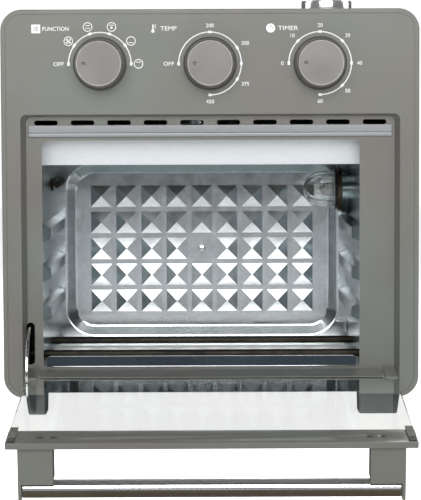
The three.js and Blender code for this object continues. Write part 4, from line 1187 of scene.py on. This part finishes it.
# The dark screws in the handle's dishes are partly real screw heads, partly a painted shade for the dishes'
# dark reflections.
for side, sign in (("left", -1), ("right", 1)):
    for place_name, out in zip(("outer", "inner"), DISH_OUT):
        seat = opened @ Vector((sign * out, DOOR_THICK / 2 - DISH_DEPTH + 0.05 * MM, DISH_ALONG))
        screw = cross_screw(f"handle_screw_{side}_{place_name}", seat, 2.7 * MM, 0.9 * MM, inward)
        screw.data.materials.append(dark_paint_and_shade)
        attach(screw, "door")
    ends = sorted(sign * across * MM for across in BUMPER_ACROSS)
    corner = box_between(
        f"corner_bumper_{side}",
        (ends[0], DOOR_THICK / 2, BUMPER_ALONG[0] * MM),
        (ends[1], DOOR_THICK / 2 + BUMPER_THICK, BUMPER_ALONG[1] * MM),
    )
    corner.data.transform(opened)
    bevelled(corner, 0.3 * MM, 3).data.materials.append(black_rubber)
    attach(corner, "door")

dressed("door_hinge_rail", casing_paint, 0.8 * MM, 3)
pad_rubber = rubber_finish("corner_pad", (0.13, 0.125, 0.115, 1))
for side in ("left", "right"):
    dressed(f"door_pad_{side}", pad_rubber, 0.35 * MM, 3)
    dressed(f"door_hinge_bracket_{side}", casing_paint, 0.5 * MM, 3)
    dressed(f"hinge_pin_{side}", chrome, 0.4 * MM, 3)
    dressed(f"handle_post_{side}", casing_paint, 0.7 * MM, 3)
dressed("door_arm", chrome, 0.4 * MM, 3)
spring = copied("door_spring")
spring.data.materials.append(chrome)
only(spring)
bpy.ops.object.shade_smooth()

# ---------------------------------------------------------------- handle bar
# Plated steel tube, 14 mm across, its turned-in ends held between the cheeks of the two posts.

bar_low, bar_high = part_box("handle_bar")
bar_half = (bar_high.x - bar_low.x) / 2
bar_radius = (bar_high.z - bar_low.z) / 2
half_outline = [
    (0, bar_half - 0.4 * MM),
    (bar_radius - 1.6 * MM, bar_half),
    (bar_radius - 0.5 * MM, bar_half),
    (bar_radius, bar_half - 0.6 * MM),
]
bar = lathe("handle_tube", both_ends(half_outline), (1, 0, 0), middle_of("handle_bar"), 96)
made_for(bar, "handle_bar", chrome)

# ---------------------------------------------------------------- fasteners
# Bright dome rivets through the cavity's front edges, and cross-headed screws round the back cover.


def same_again(piece, name, shift):
    """A copy of a piece with its own mesh, moved by a distance."""
    made = new_piece(name, piece.data.copy())
    made.data.transform(Matrix.Translation(shift))
    return made


RIVET_OUTLINE = [(0, 0), (1.5 * MM, 0), (1.4 * MM, 0.4 * MM), (0.9 * MM, 0.85 * MM), (0, 1.0 * MM)]
RIVET_LEVELS = (61, 112, 168)
for side, inwards in (("left", 1), ("right", -1)):
    low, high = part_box(f"cavity_{side}_wall")
    face_x = low.x + 1.2 * MM if side == "left" else high.x - 1.2 * MM
    for level in RIVET_LEVELS:
        at = (face_x, low.y + 3.2 * MM, level * MM)
        rivet = lathe(f"rivet_{side}_{level}", RIVET_OUTLINE, (inwards, 0, 0), at, 20)
        rivet.data.materials.append(chrome)
        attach(rivet, "body")

cover_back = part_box("back_cover")[1].y
first = cross_screw("cover_screw_0", (0, cover_back, 0), 3.2 * MM, 1.8 * MM, (0, 1, 0))
first.data.materials.append(chrome)
spots = [(x, z) for x in (-160, 160) for z in (24, 118, 212, 304)]
spots += [(x, z) for x in (-60, 60) for z in (12, 316)]
for number, (x, z) in enumerate(spots):
    screw = same_again(first, f"cover_screw_{number + 1}", (x * MM, 0, z * MM))
    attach(screw, "body")
bpy.data.objects.remove(first)
